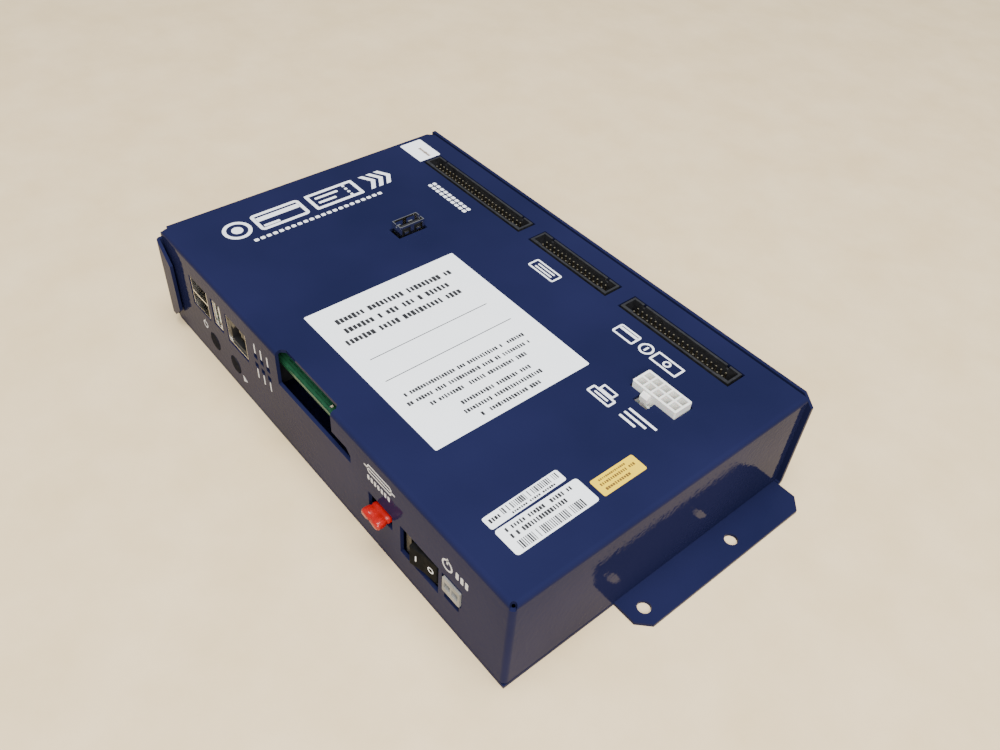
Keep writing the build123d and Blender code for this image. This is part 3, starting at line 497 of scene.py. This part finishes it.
# ---------------------------------------------------------------- geometry nodes


class Growth:
    """A geometry node tree with named inputs, applied to a carrier mesh."""

    def __init__(self, name):
        self.tree = bpy.data.node_groups.new(name, "GeometryNodeTree")
        self.tree.interface.new_socket("Geometry", in_out="OUTPUT", socket_type="NodeSocketGeometry")
        self.tree.interface.new_socket("Geometry", in_out="INPUT", socket_type="NodeSocketGeometry")
        self.sockets = {}
        self.start = self.tree.nodes.new("NodeGroupInput")
        self.end = self.tree.nodes.new("NodeGroupOutput")

    def input(self, name, kind):
        item = self.tree.interface.new_socket(name, in_out="INPUT", socket_type="NodeSocket" + kind)
        self.sockets[name] = item.identifier
        return self.start.outputs[name]

    def add(self, kind, inputs=(), **settings):
        node = self.tree.nodes.new(kind)
        for key, value in settings.items():
            setattr(node, key, value)
        for socket, value in inputs:
            if isinstance(value, bpy.types.NodeSocket):
                self.tree.links.new(value, node.inputs[socket])
            else:
                node.inputs[socket].default_value = value
        return node

    def finish(self, instances, material):
        """Realizes the instances and gives them the material."""
        real = self.add("GeometryNodeRealizeInstances", [("Geometry", instances)])
        inputs = [("Geometry", real.outputs["Geometry"]), ("Material", material)]
        dressed = self.add("GeometryNodeSetMaterial", inputs)
        self.tree.links.new(dressed.outputs["Geometry"], self.end.inputs["Geometry"])

    def grow(self, carrier, values):
        """Runs the tree on a carrier mesh and returns the result as a plain mesh."""
        thing = bpy.data.objects.new("carrier", carrier)
        bpy.context.scene.collection.objects.link(thing)
        modifier = thing.modifiers.new("growth", "NODES")
        modifier.node_group = self.tree
        for name, value in values.items():
            modifier[self.sockets[name]] = value
        bpy.context.view_layer.update()
        evaluated = thing.evaluated_get(bpy.context.evaluated_depsgraph_get())
        mesh = bpy.data.meshes.new_from_object(evaluated)
        thing.modifiers.remove(modifier)
        bpy.data.objects.remove(thing)
        return mesh


def print_tree():
    """A row of printed bars: bar codes and the lines of a notice. Count places over Length, some left out."""
    growth = Growth("print_row")
    length = growth.input("Length", "Float")
    height = growth.input("Height", "Float")
    thickness = growth.input("Thickness", "Float")
    count = growth.input("Count", "Int")
    thin = growth.input("Thin", "Float")
    thick = growth.input("Thick", "Float")
    low = growth.input("Lowest", "Float")
    gaps = growth.input("Gaps", "Float")
    seed = growth.input("Seed", "Int")
    material = growth.input("Material", "Material")
    index = growth.add("GeometryNodeInputIndex").outputs[0]
    pitch = growth.add("ShaderNodeMath", [(0, length), (1, count)], operation="DIVIDE").outputs[0]
    half = growth.add("ShaderNodeMath", [(0, length), (1, -0.5)], operation="MULTIPLY").outputs[0]
    start = growth.add("ShaderNodeMath", [(0, pitch), (1, 0.5), (2, half)], operation="MULTIPLY_ADD")
    first = start.outputs[0]
    start = growth.add("ShaderNodeCombineXYZ", [("X", first)]).outputs[0]
    step = growth.add("ShaderNodeCombineXYZ", [("X", pitch)]).outputs[0]
    line = growth.add("GeometryNodeMeshLine", [("Count", count), ("Start Location", start), ("Offset", step)])
    skip = growth.add("FunctionNodeRandomValue", [("Probability", gaps), ("Seed", seed)], data_type="BOOLEAN")
    chosen = [("Geometry", line.outputs["Mesh"]), ("Selection", skip.outputs[3])]
    kept = growth.add("GeometryNodeDeleteGeometry", chosen)
    share = growth.add("FunctionNodeRandomValue", [(2, thin), (3, thick), ("Seed", seed)], data_type="FLOAT")
    wide = growth.add("ShaderNodeMath", [(0, share.outputs[1]), (1, pitch)], operation="MULTIPLY").outputs[0]
    shares = [(2, low), (3, 1.0), ("ID", index), ("Seed", 7)]
    uneven = growth.add("FunctionNodeRandomValue", shares, data_type="FLOAT")
    raised = growth.add("ShaderNodeMath", [(0, uneven.outputs[1]), (1, height)], operation="MULTIPLY")
    tall = raised.outputs[0]
    size = growth.add("ShaderNodeCombineXYZ", [("X", wide), ("Y", tall), ("Z", thickness)]).outputs[0]
    bar = growth.add("GeometryNodeMeshCube", [("Size", (1.0, 1.0, 1.0))]).outputs["Mesh"]
    placed = growth.add("GeometryNodeInstanceOnPoints", [
        ("Points", kept.outputs["Geometry"]), ("Instance", bar), ("Scale", size),
    ])
    growth.finish(placed.outputs["Instances"], material)
    return growth


def point_tree(name):
    """The same small part on every vertex of the carrier, turned by the vertex's own turn."""
    growth = Growth(name)
    part = growth.input("Part", "Object")
    material = growth.input("Material", "Material")
    stored = growth.add("GeometryNodeInputNamedAttribute", [("Name", "turn")], data_type="FLOAT")
    turn = stored.outputs["Attribute"]
    spin = growth.add("ShaderNodeCombineXYZ", [("Z", turn)]).outputs[0]
    shape = growth.add("GeometryNodeObjectInfo", [("Object", part)]).outputs["Geometry"]
    placed = growth.add("GeometryNodeInstanceOnPoints", [
        ("Points", growth.start.outputs["Geometry"]), ("Instance", shape), ("Rotation", spin),
    ])
    growth.finish(placed.outputs["Instances"], material)
    return growth


print_row = print_tree()
repeat_part = point_tree("repeat_part")


def printed(name, rows, finish, place, body="case", thickness=0.02):
    """One piece of printed rows, in millimetres.

    A row is (x, y, length, height, count, thin, thick, gaps, seed).
    """
    bm = bmesh.new()
    for x, y, length, height, count, thin, thick, gaps, seed in rows:
        carrier = bpy.data.meshes.new("row")
        mesh = print_row.grow(carrier, {
            "Length": length, "Height": height, "Thickness": thickness, "Count": count, "Thin": thin,
            "Thick": thick, "Gaps": gaps, "Seed": seed, "Material": finish,
            "Lowest": 1.0 if gaps == BAR_CODE_GAPS else SHORTEST_LETTER,
        })
        mesh.transform(Matrix.Translation((x, y, thickness / 2)))
        bm.from_mesh(mesh)
        bpy.data.meshes.remove(mesh)
    bm.transform(place @ Matrix.Scale(MM, 4))
    return piece_from(bm, name, finish, body)


def notice(x, y, length, height, letters, seed, gaps=0.14):
    """A row of a notice: letter-sized bars with a few word gaps."""
    return (x, y, length, height, letters, 0.52, 0.86, gaps, seed)


def bar_code(x, y, length, height, seed):
    """A row of a bar code."""
    return (x, y, length, height, int(length / 0.86), 0.28, 0.82, BAR_CODE_GAPS, seed)


def scattered(name, part, points, finish, body="case"):
    """A copy of a small part on each point, given as (x, y, z, turn in degrees) in metres."""
    carrier = bpy.data.meshes.new("points")
    carrier.from_pydata([p[:3] for p in points], [], [])
    turn = carrier.attributes.new("turn", "FLOAT", "POINT")
    for k, point in enumerate(points):
        turn.data[k].value = math.radians(point[3])
    master = bpy.data.objects.new("master", part)
    bpy.context.scene.collection.objects.link(master)
    mesh = repeat_part.grow(carrier, {"Part": master, "Material": finish})
    bpy.data.objects.remove(master)
    return piece_of(mesh, name, finish, body)


def mesh_of(bm):
    """Plain mesh of a shape under construction."""
    mesh = bpy.data.meshes.new("part")
    bmesh.ops.recalc_face_normals(bm, faces=bm.faces)
    bm.to_mesh(mesh)
    bm.free()
    return mesh


# ---------------------------------------------------------------- stickers

LABEL = 0.12


def sticker(name, place, width, height, radius, finish):
    """Label with rounded corners whose upper edge is broken."""
    bm = bmesh.new()
    steps = 6
    levels = ((0.0, 0.0), (LABEL * 0.7, 0.0), (LABEL, 0.06))
    loops = []
    for z, inset in levels:
        outline = rounded(width - 2 * inset, height - 2 * inset, radius - inset, steps)
        loops.append([bm.verts.new((x, y, z)) for x, y in outline])
    for low, high in zip(loops, loops[1:]):
        for k in range(len(low)):
            after = (k + 1) % len(low)
            bm.faces.new((low[k], low[after], high[after], high[k]))
    bm.faces.new(loops[-1])
    bm.faces.new(loops[0][::-1])
    bm.transform(place @ Matrix.Scale(MM, 4))
    piece = piece_from(bm, name, finish, "case")
    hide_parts("labels")
    return piece


def contact_notice():
    """Big white notice: three large lines, two ruled lines and six small ones."""
    x, y = 132.6, 57.1
    sticker("contact_notice", on_top_sideways(x, y), 75.2, 88.0, 0.6, white_stock)
    place = on_top_sideways(x, y, 0.0, LABEL)
    rows = [
        notice(0, 33.8, 58, 3.5, 30, 3), notice(-2, 27.4, 54, 3.5, 27, 5), notice(-3, 21.0, 59, 3.5, 30, 8),
        notice(-2, -15.4, 60, 2.2, 48, 11), notice(-2, -20.0, 61, 2.2, 48, 14),
        notice(-2, -24.6, 47, 2.2, 36, 17), notice(1, -31.0, 34, 2.2, 26, 20),
        notice(1, -35.4, 38, 2.2, 29, 23), notice(1, -39.8, 29, 2.2, 22, 26, 0.08),
    ]
    printed("contact_notice_print", rows, black_ink, place)
    rules = Drawing(0.02)
    rules.bar(58, 0.42, (-1, 8.0))
    rules.bar(62, 0.42, (-1, -5.2))
    rules.piece("contact_notice_rules", black_ink, place, slot="label_paper")


def part_labels():
    """Two white labels and a yellow one by the near right corner, a small one by the far left."""
    x, y, turn = 221.5, 32.2, 0.4
    sticker("part_label", on_top_sideways(x, y, turn), 37.3, 12.0, 1.3, white_stock)
    rows = [
        notice(-0.5, 3.9, 30, 1.9, 24, 31), notice(-3.0, 1.0, 25, 1.9, 20, 32, 0.1),
        bar_code(-0.5, -3.3, 30, 3.6, 33),
    ]
    printed("part_label_print", rows, black_ink, on_top_sideways(x, y, turn, LABEL))

    x, y, turn = 211.6, 30.6, 1.5
    sticker("address_label", on_top_sideways(x, y, turn), 34.4, 5.6, 0.9, white_stock)
    rows = [
        notice(-13.4, 0.2, 5, 2.0, 4, 41, 0.0), bar_code(2.9, 0.8, 26, 2.7, 42),
        notice(2.6, -1.75, 20, 1.0, 20, 43, 0.06),
    ]
    printed("address_label_print", rows, black_ink, on_top_sideways(x, y, turn, LABEL))

    x, y, turn = 223.5, 63.6, 0.0
    sticker("yellow_label", on_top_sideways(x, y, turn), 21.0, 8.0, 0.8, yellow_stock)
    rows = [
        notice(-1.5, 2.4, 14, 0.9, 16, 51), notice(0, 0.5, 17, 1.3, 17, 52, 0.06),
        notice(-2, -1.9, 12, 1.3, 11, 53, 0.06),
    ]
    printed("yellow_label_print", rows, rust_ink, on_top_sideways(x, y, turn, LABEL))

    x, y = 11.0, 134.5
    sticker("corner_label", on_top(x, y), 17.6, 12.6, 0.8, white_stock)
    printed("corner_label_print", [notice(2.6, 0.8, 9, 1.8, 8, 61, 0.0)], rust_ink, on_top(x, y, 0, LABEL))


contact_notice()
part_labels()


# ---------------------------------------------------------------- screen print

INK = 0.03


def plain_emblem():
    """Generic signs of coin, card and ticket over a row of dashes, printed large on the top plate."""
    drawing = Drawing(INK)
    line = 1.7
    drawing.ring(disc(6.6), disc(6.6 - line), (-35, 3.4))
    drawing.solid(disc(2.6), (-35, 3.4))
    drawing.frame(25, 13, 2.0, line, (-13.5, 3.4))
    drawing.bar(22.0, 3.0, (-13.5, 5.4))
    drawing.bar(8, 1.5, (-19.5, -0.1))
    drawing.frame(26, 13, 0.9, line, (15.5, 3.4))
    for k in range(4):
        drawing.bar(1.4, 1.5, (22.6, -0.6 + 2.65 * k))
    for k, width in enumerate((12.4, 9.4)):
        drawing.bar(width, 1.5, (6.0 + width / 2, 5.4 - 3.8 * k))
    for k in range(3):
        step = 4.4 * k
        drawing.solid([(32.5 + step, -2.6), (34.9 + step, -2.6), (38.5 + step, 3.4),
                       (34.9 + step, 9.4), (32.5 + step, 9.4), (36.1 + step, 3.4)])
    for k in range(22):
        drawing.bar(2.1, 1.9, (-31.5 + 3.1 * k, -7.6))
    drawing.piece("front_emblem_print", white_ink, on_top_sideways(24.0, 62.0), slot="label_paper")


def header_signs():
    """Signs that say what plugs into each header, in place of words."""
    keys = Drawing(INK)
    for column in range(10):
        for row in range(2):
            keys.solid(rounded(2.1, 1.8, 0.4, 3), (column * 2.9 - 13.0, row * 2.5 - 1.2))
    keys.piece("keypad_sign_print", white_ink, on_top(53.0, 120.6), slot="label_paper")

    screen = Drawing(INK)
    screen.frame(16.0, 6.4, 0.9, 0.85)
    screen.bar(10.4, 0.85, (0, 0.9))
    screen.bar(10.4, 0.85, (0, -1.0))
    screen.piece("display_sign_print", white_ink, on_top(122.0, 120.2), slot="label_paper")

    pay = Drawing(INK)
    pay.frame(11.4, 6.6, 1.0, 0.9, (-11.6, 0))
    pay.bar(9.8, 1.3, (-11.6, 1.2))
    pay.ring(disc(3.3, 32), disc(2.4, 32), (-0.6, 0))
    pay.bar(0.9, 2.8, (-0.6, 0))
    pay.frame(14.0, 6.6, 0.6, 0.9, (10.6, 0))
    pay.ring(disc(1.8, 24), disc(1.0, 24), (10.6, 0))
    pay.piece("payment_sign_print", white_ink, on_top(184.5, 119.4), slot="label_paper")

    paper = Drawing(INK)
    paper.frame(12.0, 4.6, 0.8, 0.9, (-9, -1.0))
    paper.frame(7.4, 3.4, 0.4, 0.8, (-9, 3.0))
    paper.bar(7.0, 0.9, (-9, -1.0))
    for k in range(3):
        paper.bar(14.0 - 3.0 * k, 1.1, (9.0 - 1.5 * k, 3.0 - 2.6 * k))
    paper.piece("printer_sign_print", white_ink, on_top(201.0, 87.0), slot="label_paper")


def wall_signs():
    """Small signs on the port wall: buttons, lamps, fuse and power."""
    marks = Drawing(INK)
    marks.ring(disc(2.0, 28), disc(1.4, 28), (33.0, 18.5))
    marks.bar(0.6, 1.8, (33.0, 20.4))
    marks.solid([(64.8, 8.0), (68.4, 9.8), (64.8, 11.6)])
    for column in range(3):
        for z in (39.4, 25.6):
            marks.bar(0.9, 5.2, (86.4 + (column - 1) * 5.08, z))
    marks.frame(15.0, 4.4, 1.4, 0.7, (169.6, 42.4))
    marks.bar(19.0, 0.7, (169.6, 42.4))
    for k in range(7):
        marks.bar(1.3, 2.4, (162.6 + 2.1 * k, 37.2))
    marks.ring(disc(2.9, 28), disc(2.1, 28), (209.0, 36.0))
    marks.bar(0.8, 3.2, (209.0, 38.2))
    for k in range(3):
        marks.bar(1.5, 3.6, (214.4 + 2.5 * k, 36.0))
    marks.piece("port_wall_print", grey_ink, facing((LEFT, FRONT, 0.0), ALONG_X, UP), slot="label_paper")


plain_emblem()
header_signs()
wall_signs()


# ---------------------------------------------------------------- fuse, rocker, buttons


def softened(node, name, finish, body, radius):
    """Copy of a frame node with its sharp edges rounded, which stands for the node."""
    bm = bmesh.new()
    bm.from_mesh(frame["nodes"][node].data)
    bmesh.ops.remove_doubles(bm, verts=bm.verts, dist=1e-6)
    bmesh.ops.dissolve_limit(bm, angle_limit=math.radians(1.0), verts=bm.verts, edges=bm.edges)
    sharp = [e for e in bm.edges if len(e.link_faces) == 2 and e.calc_face_angle(0.0) > math.radians(35)]
    bmesh.ops.bevel(bm, geom=sharp, offset=radius, offset_type="OFFSET", segments=3, profile=0.5,
                    affect="EDGES", clamp_overlap=True)
    bmesh.ops.triangulate(bm, faces=[f for f in bm.faces if len(f.verts) > 4])
    piece = piece_from(bm, name, finish, body)
    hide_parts(node)
    return piece


def moulded_fuse():
    """Body of the blade fuse: rounded head with raised ends, a waist and a groove above the blades."""
    low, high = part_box("fuse_body")
    middle = (low + high) / 2
    half_w, half_t = (high.x - low.x) / 2, (high.z - low.z) / 2
    profile = (
        (0.00, 0.80, 0.50), (0.02, 0.90, 0.72), (0.07, 0.97, 0.90), (0.15, 1.00, 0.99), (0.34, 1.00, 1.00),
        (0.44, 0.98, 0.96), (0.50, 0.91, 0.84), (0.56, 0.90, 0.82), (0.62, 0.95, 0.92), (0.80, 0.95, 0.92),
        (0.97, 0.94, 0.90), (1.00, 0.90, 0.84),
    )
    around = 64
    bm = bmesh.new()
    rings = []
    for share, wide, thick in profile:
        ring = []
        for k in range(around):
            angle = 2 * math.pi * k / around
            c, d = math.cos(angle), math.sin(angle)
            x = math.copysign(abs(c) ** 0.5, c) * wide
            waist = 0.26 * math.exp(-((x / 0.30) ** 2)) + 0.10 * math.exp(-(((abs(x) - 0.92) / 0.10) ** 2))
            z = math.copysign(abs(d) ** 0.5, d) * thick * (1 - waist * (1.0 if share < 0.45 else 0.3))
            dent = 0.9 * MM * math.exp(-((x / 0.26) ** 2)) if share < 0.1 else 0.0
            y = low.y + (high.y - low.y) * share + dent
            ring.append(bm.verts.new((middle.x + x * half_w, y, middle.z + z * half_t)))
        rings.append(ring)
    for first, second in zip(rings, rings[1:]):
        for k in range(around):
            after = (k + 1) % around
            bm.faces.new((first[k], first[after], second[after], second[k]))
    for ring in (rings[0], rings[-1]):
        hub = bm.verts.new(sum((v.co for v in ring), Vector()) / around)
        for k in range(around):
            bm.faces.new((ring[k], ring[(k + 1) % around], hub))
    piece = piece_from(bm, "moulded_fuse_head", red_plastic, "fuse", smooth=True)
    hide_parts("fuse_body")


def rocker_marks():
    """The on and off signs on the two ends of the rocker's face."""
    joint = next(j for j in frame["joints"] if j["name"] == "rocker_tilt")
    tilt, slope = math.radians(10.0), math.radians(4.15)
    rest = Matrix.Translation(Vector(joint["pos_m"])) @ Matrix.Rotation(tilt, 4, "Z")
    drawing_on = Drawing(0.03)
    drawing_on.bar(0.55, 3.0)
    drawing_off = Drawing(0.03)
    drawing_off.ring(disc(1.5, 32), disc(1.0, 32))
    for name, drawing, side in (("rocker_on_mark", drawing_on, -1), ("rocker_off_mark", drawing_off, 1)):
        x = side * 3.6
        y = -6.4 - abs(x) * math.tan(slope)
        along = Vector((math.cos(slope), -side * math.sin(slope), 0))
        place = rest @ facing((x * MM, (y - 0.012) * MM, 0), along, UP)
        drawing.piece(name, white_ink, place, "rocker", "label_paper")


def usb_tongue():
    """Pale moulded tongue of the single USB socket, with a lead-in at its tip."""
    low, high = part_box("single_usb_insert")
    centre = (low + high) / 2
    x, z = centre.x - 0.9 * MM, centre.z
    half_x, half_z, taper = 0.97 * MM, 5.72 * MM, 0.3 * MM
    stations = ((low.y - 0.02 * MM, taper), (low.y + 0.6 * MM, 0.0), (low.y + 8.4 * MM, 0.0))
    bm = bmesh.new()
    rings = [[bm.verts.new((x + sx * (half_x - cut), y, z + sz * (half_z - cut)))
              for sx, sz in ((-1, -1), (1, -1), (1, 1), (-1, 1))] for y, cut in stations]
    for first, second in zip(rings, rings[1:]):
        for k in range(4):
            after = (k + 1) % 4
            bm.faces.new((first[k], first[after], second[after], second[k]))
    bm.faces.new(rings[0])
    bm.faces.new(rings[-1][::-1])
    piece_from(bm, "single_usb_tongue", nylon, "case")


usb_tongue()
softened("power_rocker", "rocker_paddle", satin, "rocker", 0.35 * MM)
softened("reset_button", "reset_button_cap", rubber, "reset_cap", 0.45 * MM)
softened("test_button", "test_button_cap", rubber, "test_cap", 0.45 * MM)
moulded_fuse()
rocker_marks()


# ---------------------------------------------------------------- small parts on the boards


def chip_part(length, width, height):
    """Body of a small surface-mounted part, in millimetres."""
    bm = bmesh.new()
    bmesh.ops.create_cube(bm, size=1.0, matrix=Matrix.Diagonal((length * MM, width * MM, height * MM, 1)))
    bmesh.ops.translate(bm, verts=bm.verts, vec=(0, 0, height * MM / 2))
    bmesh.ops.bevel(bm, geom=bm.edges[:], offset=0.07 * MM, segments=1, affect="EDGES")
    return mesh_of(bm)


def part_ends(length, width, height):
    """The two plated ends of a small part."""
    bm = bmesh.new()
    for side in (-1, 1):
        scale = Matrix.Diagonal((0.36 * MM, width * MM, height * MM, 1))
        made = bmesh.ops.create_cube(bm, size=1.0, matrix=scale)
        bmesh.ops.translate(bm, verts=made["verts"], vec=(side * (length / 2 - 0.1) * MM, 0, height * MM / 2))
    return mesh_of(bm)


def gull_lead():
    """One bent lead of a chip, from the package's side down to the board."""
    bm = bmesh.new()
    route = ((-0.25, 0.62), (0.20, 0.62), (0.38, 0.50), (0.46, 0.14), (0.58, 0.06), (1.00, 0.06))
    rings = []
    for x, z in route:
        rings.append([bm.verts.new((x * MM, side * 0.17 * MM, (z + lift) * MM)) for side, lift in
                      ((-1, -0.06), (1, -0.06), (1, 0.07), (-1, 0.07))])
    for first, second in zip(rings, rings[1:]):
        for k in range(4):
            after = (k + 1) % 4
            bm.faces.new((first[k], first[after], second[after], second[k]))
    bm.faces.new(rings[0])
    bm.faces.new(rings[-1][::-1])
    return mesh_of(bm)


def solder_cone():
    """Solder fillet round a pin, on the underside of a board."""
    bm = bmesh.new()
    levels = ((0.92, 0.0), (0.70, -0.14), (0.52, -0.42), (0.46, -0.85))
    around = 12
    rings = []
    for radius, z in levels:
        angles = [2 * math.pi * k / around for k in range(around)]
        rings.append([bm.verts.new((radius * MM * math.cos(a), radius * MM * math.sin(a), z * MM))
                      for a in angles])
    for first, second in zip(rings, rings[1:]):
        for k in range(around):
            after = (k + 1) % around
            bm.faces.new((first[k], first[after], second[after], second[k]))
    bm.faces.new(rings[0])
    bm.faces.new(rings[-1][::-1])
    return mesh_of(bm)


def chip_leads():
    """Leads along two sides of each chip and along all four of the processor."""
    points = []
    step = 1.27 * MM
    for node, sides in (("logic_chips", 2), ("processor", 4)):
        for low, high in solids_of(node):
            centre = (low + high) / 2
            for axis in range(sides // 2):
                other = 1 - axis
                count = int((high[other] - low[other] - 1.6 * MM) / step)
                for k in range(count + 1):
                    offset = (k - count / 2) * step
                    for side in (-1, 1):
                        place = [0.0, 0.0, board_top]
                        place[axis] = (high if side > 0 else low)[axis]
                        place[other] = centre[other] + offset
                        turn = (0 if side > 0 else 180) + 90 * axis
                        points.append((*place, turn))
    scattered("chip_leads", gull_lead(), points, tin)


def solder_joints():
    """Solder fillets under every header and printer pin."""
    points = []
    for node in ("keypad_header_pins", "display_header_pins", "payment_header_pins",
                 "printer_connector_pins"):
        for low, high in solids_of(node):
            points.append(((low.x + high.x) / 2, (low.y + high.y) / 2, board_under, 0))
    scattered("solder_joints", solder_cone(), points, tin)


def small_parts():
    """Rows of small parts on the main board, clear of everything that stands on it."""
    standing = []
    for node, thing in frame["nodes"].items():
        if node in ("main_board", "cover", "base_pan", "labels"):
            continue
        low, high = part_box(node)
        if high.z < board_top + 0.1 * MM or low.z > TOP:
            continue
        standing += [(a, b) for a, b in solids_of(node) if b.z > board_top + 0.1 * MM]
    clear = 2.6 * MM
    points = [
        (LEFT + 129.6 * MM, FRONT + 6.0 * MM, board_top, 90),
        (LEFT + 132.4 * MM, FRONT + 6.3 * MM, board_top, 90),
        (LEFT + 134.6 * MM, FRONT + 6.1 * MM, board_top, 90),
        (LEFT + 134.2 * MM, FRONT + 8.6 * MM, board_top, 0),
    ]
    for row in range(19):
        for column in range(38):
            x = board_low.x + (6.0 + 6.0 * column) * MM
            y = board_low.y + (8.0 + 7.2 * row) * MM
            blocked = any(a.x - clear < x < b.x + clear and a.y - clear < y < b.y + clear
                          for a, b in standing)
            inside = x < board_high.x - 4 * MM and y < board_high.y - 4 * MM
            if inside and not blocked and (row * 7 + column * 5) % 4:
                points.append((x, y, board_top, 90 * ((row + column) % 2)))
    size = (1.6, 0.85, 0.5)
    scattered("small_part_bodies", chip_part(*size), points, ceramic)
    scattered("small_part_ends", part_ends(size[0], size[1] + 0.04, size[2] + 0.03), points, tin)


board_low, board_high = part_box("main_board")
board_under, board_top = board_low.z, board_high.z
chip_leads()
solder_joints()
small_parts()


# ---------------------------------------------------------------- floor, light and camera


def floor():
    """Plain pale table top."""
    finish = Finish("pale_table", Specular_IOR_Level=0.35)
    cloud = finish.span(finish.noise(26.0, 6.0, 0.62), 0.3, 0.7)
    finish.colour(finish.mix(cloud, (0.720, 0.555, 0.310), (0.800, 0.635, 0.385)))
    finish.rough(finish.span(finish.noise(60.0, 3.0), 0.3, 0.7, (0.34, 0.46)))
    finish.relief((finish.noise(900.0, 2.0), 0.2, 1e-5))
    bm = bmesh.new()
    bmesh.ops.create_grid(bm, x_segments=8, y_segments=8, size=4.0)
    mesh = bpy.data.meshes.new("table_top")
    bm.to_mesh(mesh)
    bm.free()
    mesh.materials.append(finish.material)
    table = bpy.data.objects.new("table_top", mesh)
    bpy.context.scene.collection.objects.link(table)


def lamp(name, place, aim, size, power, tint=(1.0, 1.0, 1.0)):
    """Soft rectangular lamp that faces the aim."""
    light = bpy.data.lights.new(name, "AREA")
    light.shape = "RECTANGLE"
    light.size, light.size_y = size
    light.energy = power
    light.color = tint
    thing = bpy.data.objects.new(name, light)
    thing.location = place
    thing.rotation_euler = (Vector(aim) - Vector(place)).to_track_quat("-Z", "Y").to_euler()
    bpy.context.scene.collection.objects.link(thing)


def surroundings():
    """Even, slightly cool light from all round."""
    world = bpy.data.worlds.new("studio")
    world.use_nodes = True
    world.node_tree.nodes["Background"].inputs["Color"].default_value = (0.80, 0.87, 1.0, 1.0)
    world.node_tree.nodes["Background"].inputs["Strength"].default_value = 0.42
    bpy.context.scene.world = world


def camera():
    """Camera high over the near right corner."""
    place = Vector((0.2240, -0.1875, 0.2956))
    aim = Vector((0.03927, -0.01331, 0.0500))
    roll = math.radians(4.89)
    lens = bpy.data.cameras.new("camera")
    lens.sensor_width = 36.0
    lens.lens = 33.06
    lens.clip_start = 0.01
    thing = bpy.data.objects.new("camera", lens)
    turn = (aim - place).to_track_quat("-Z", "Y").to_matrix().to_4x4() @ Matrix.Rotation(roll, 4, "Z")
    thing.matrix_world = Matrix.Translation(place) @ turn
    bpy.context.scene.collection.objects.link(thing)
    bpy.context.scene.camera = thing


floor()
surroundings()
lamp("ceiling_light", (0.25, -0.10, 2.0), (0.05, 0, 0), (1.3, 1.0), 64)
lamp("window_light", (1.3, -1.0, 1.4), (0, 0, 0), (1.2, 1.2), 64, (1.0, 0.985, 0.96))
camera()
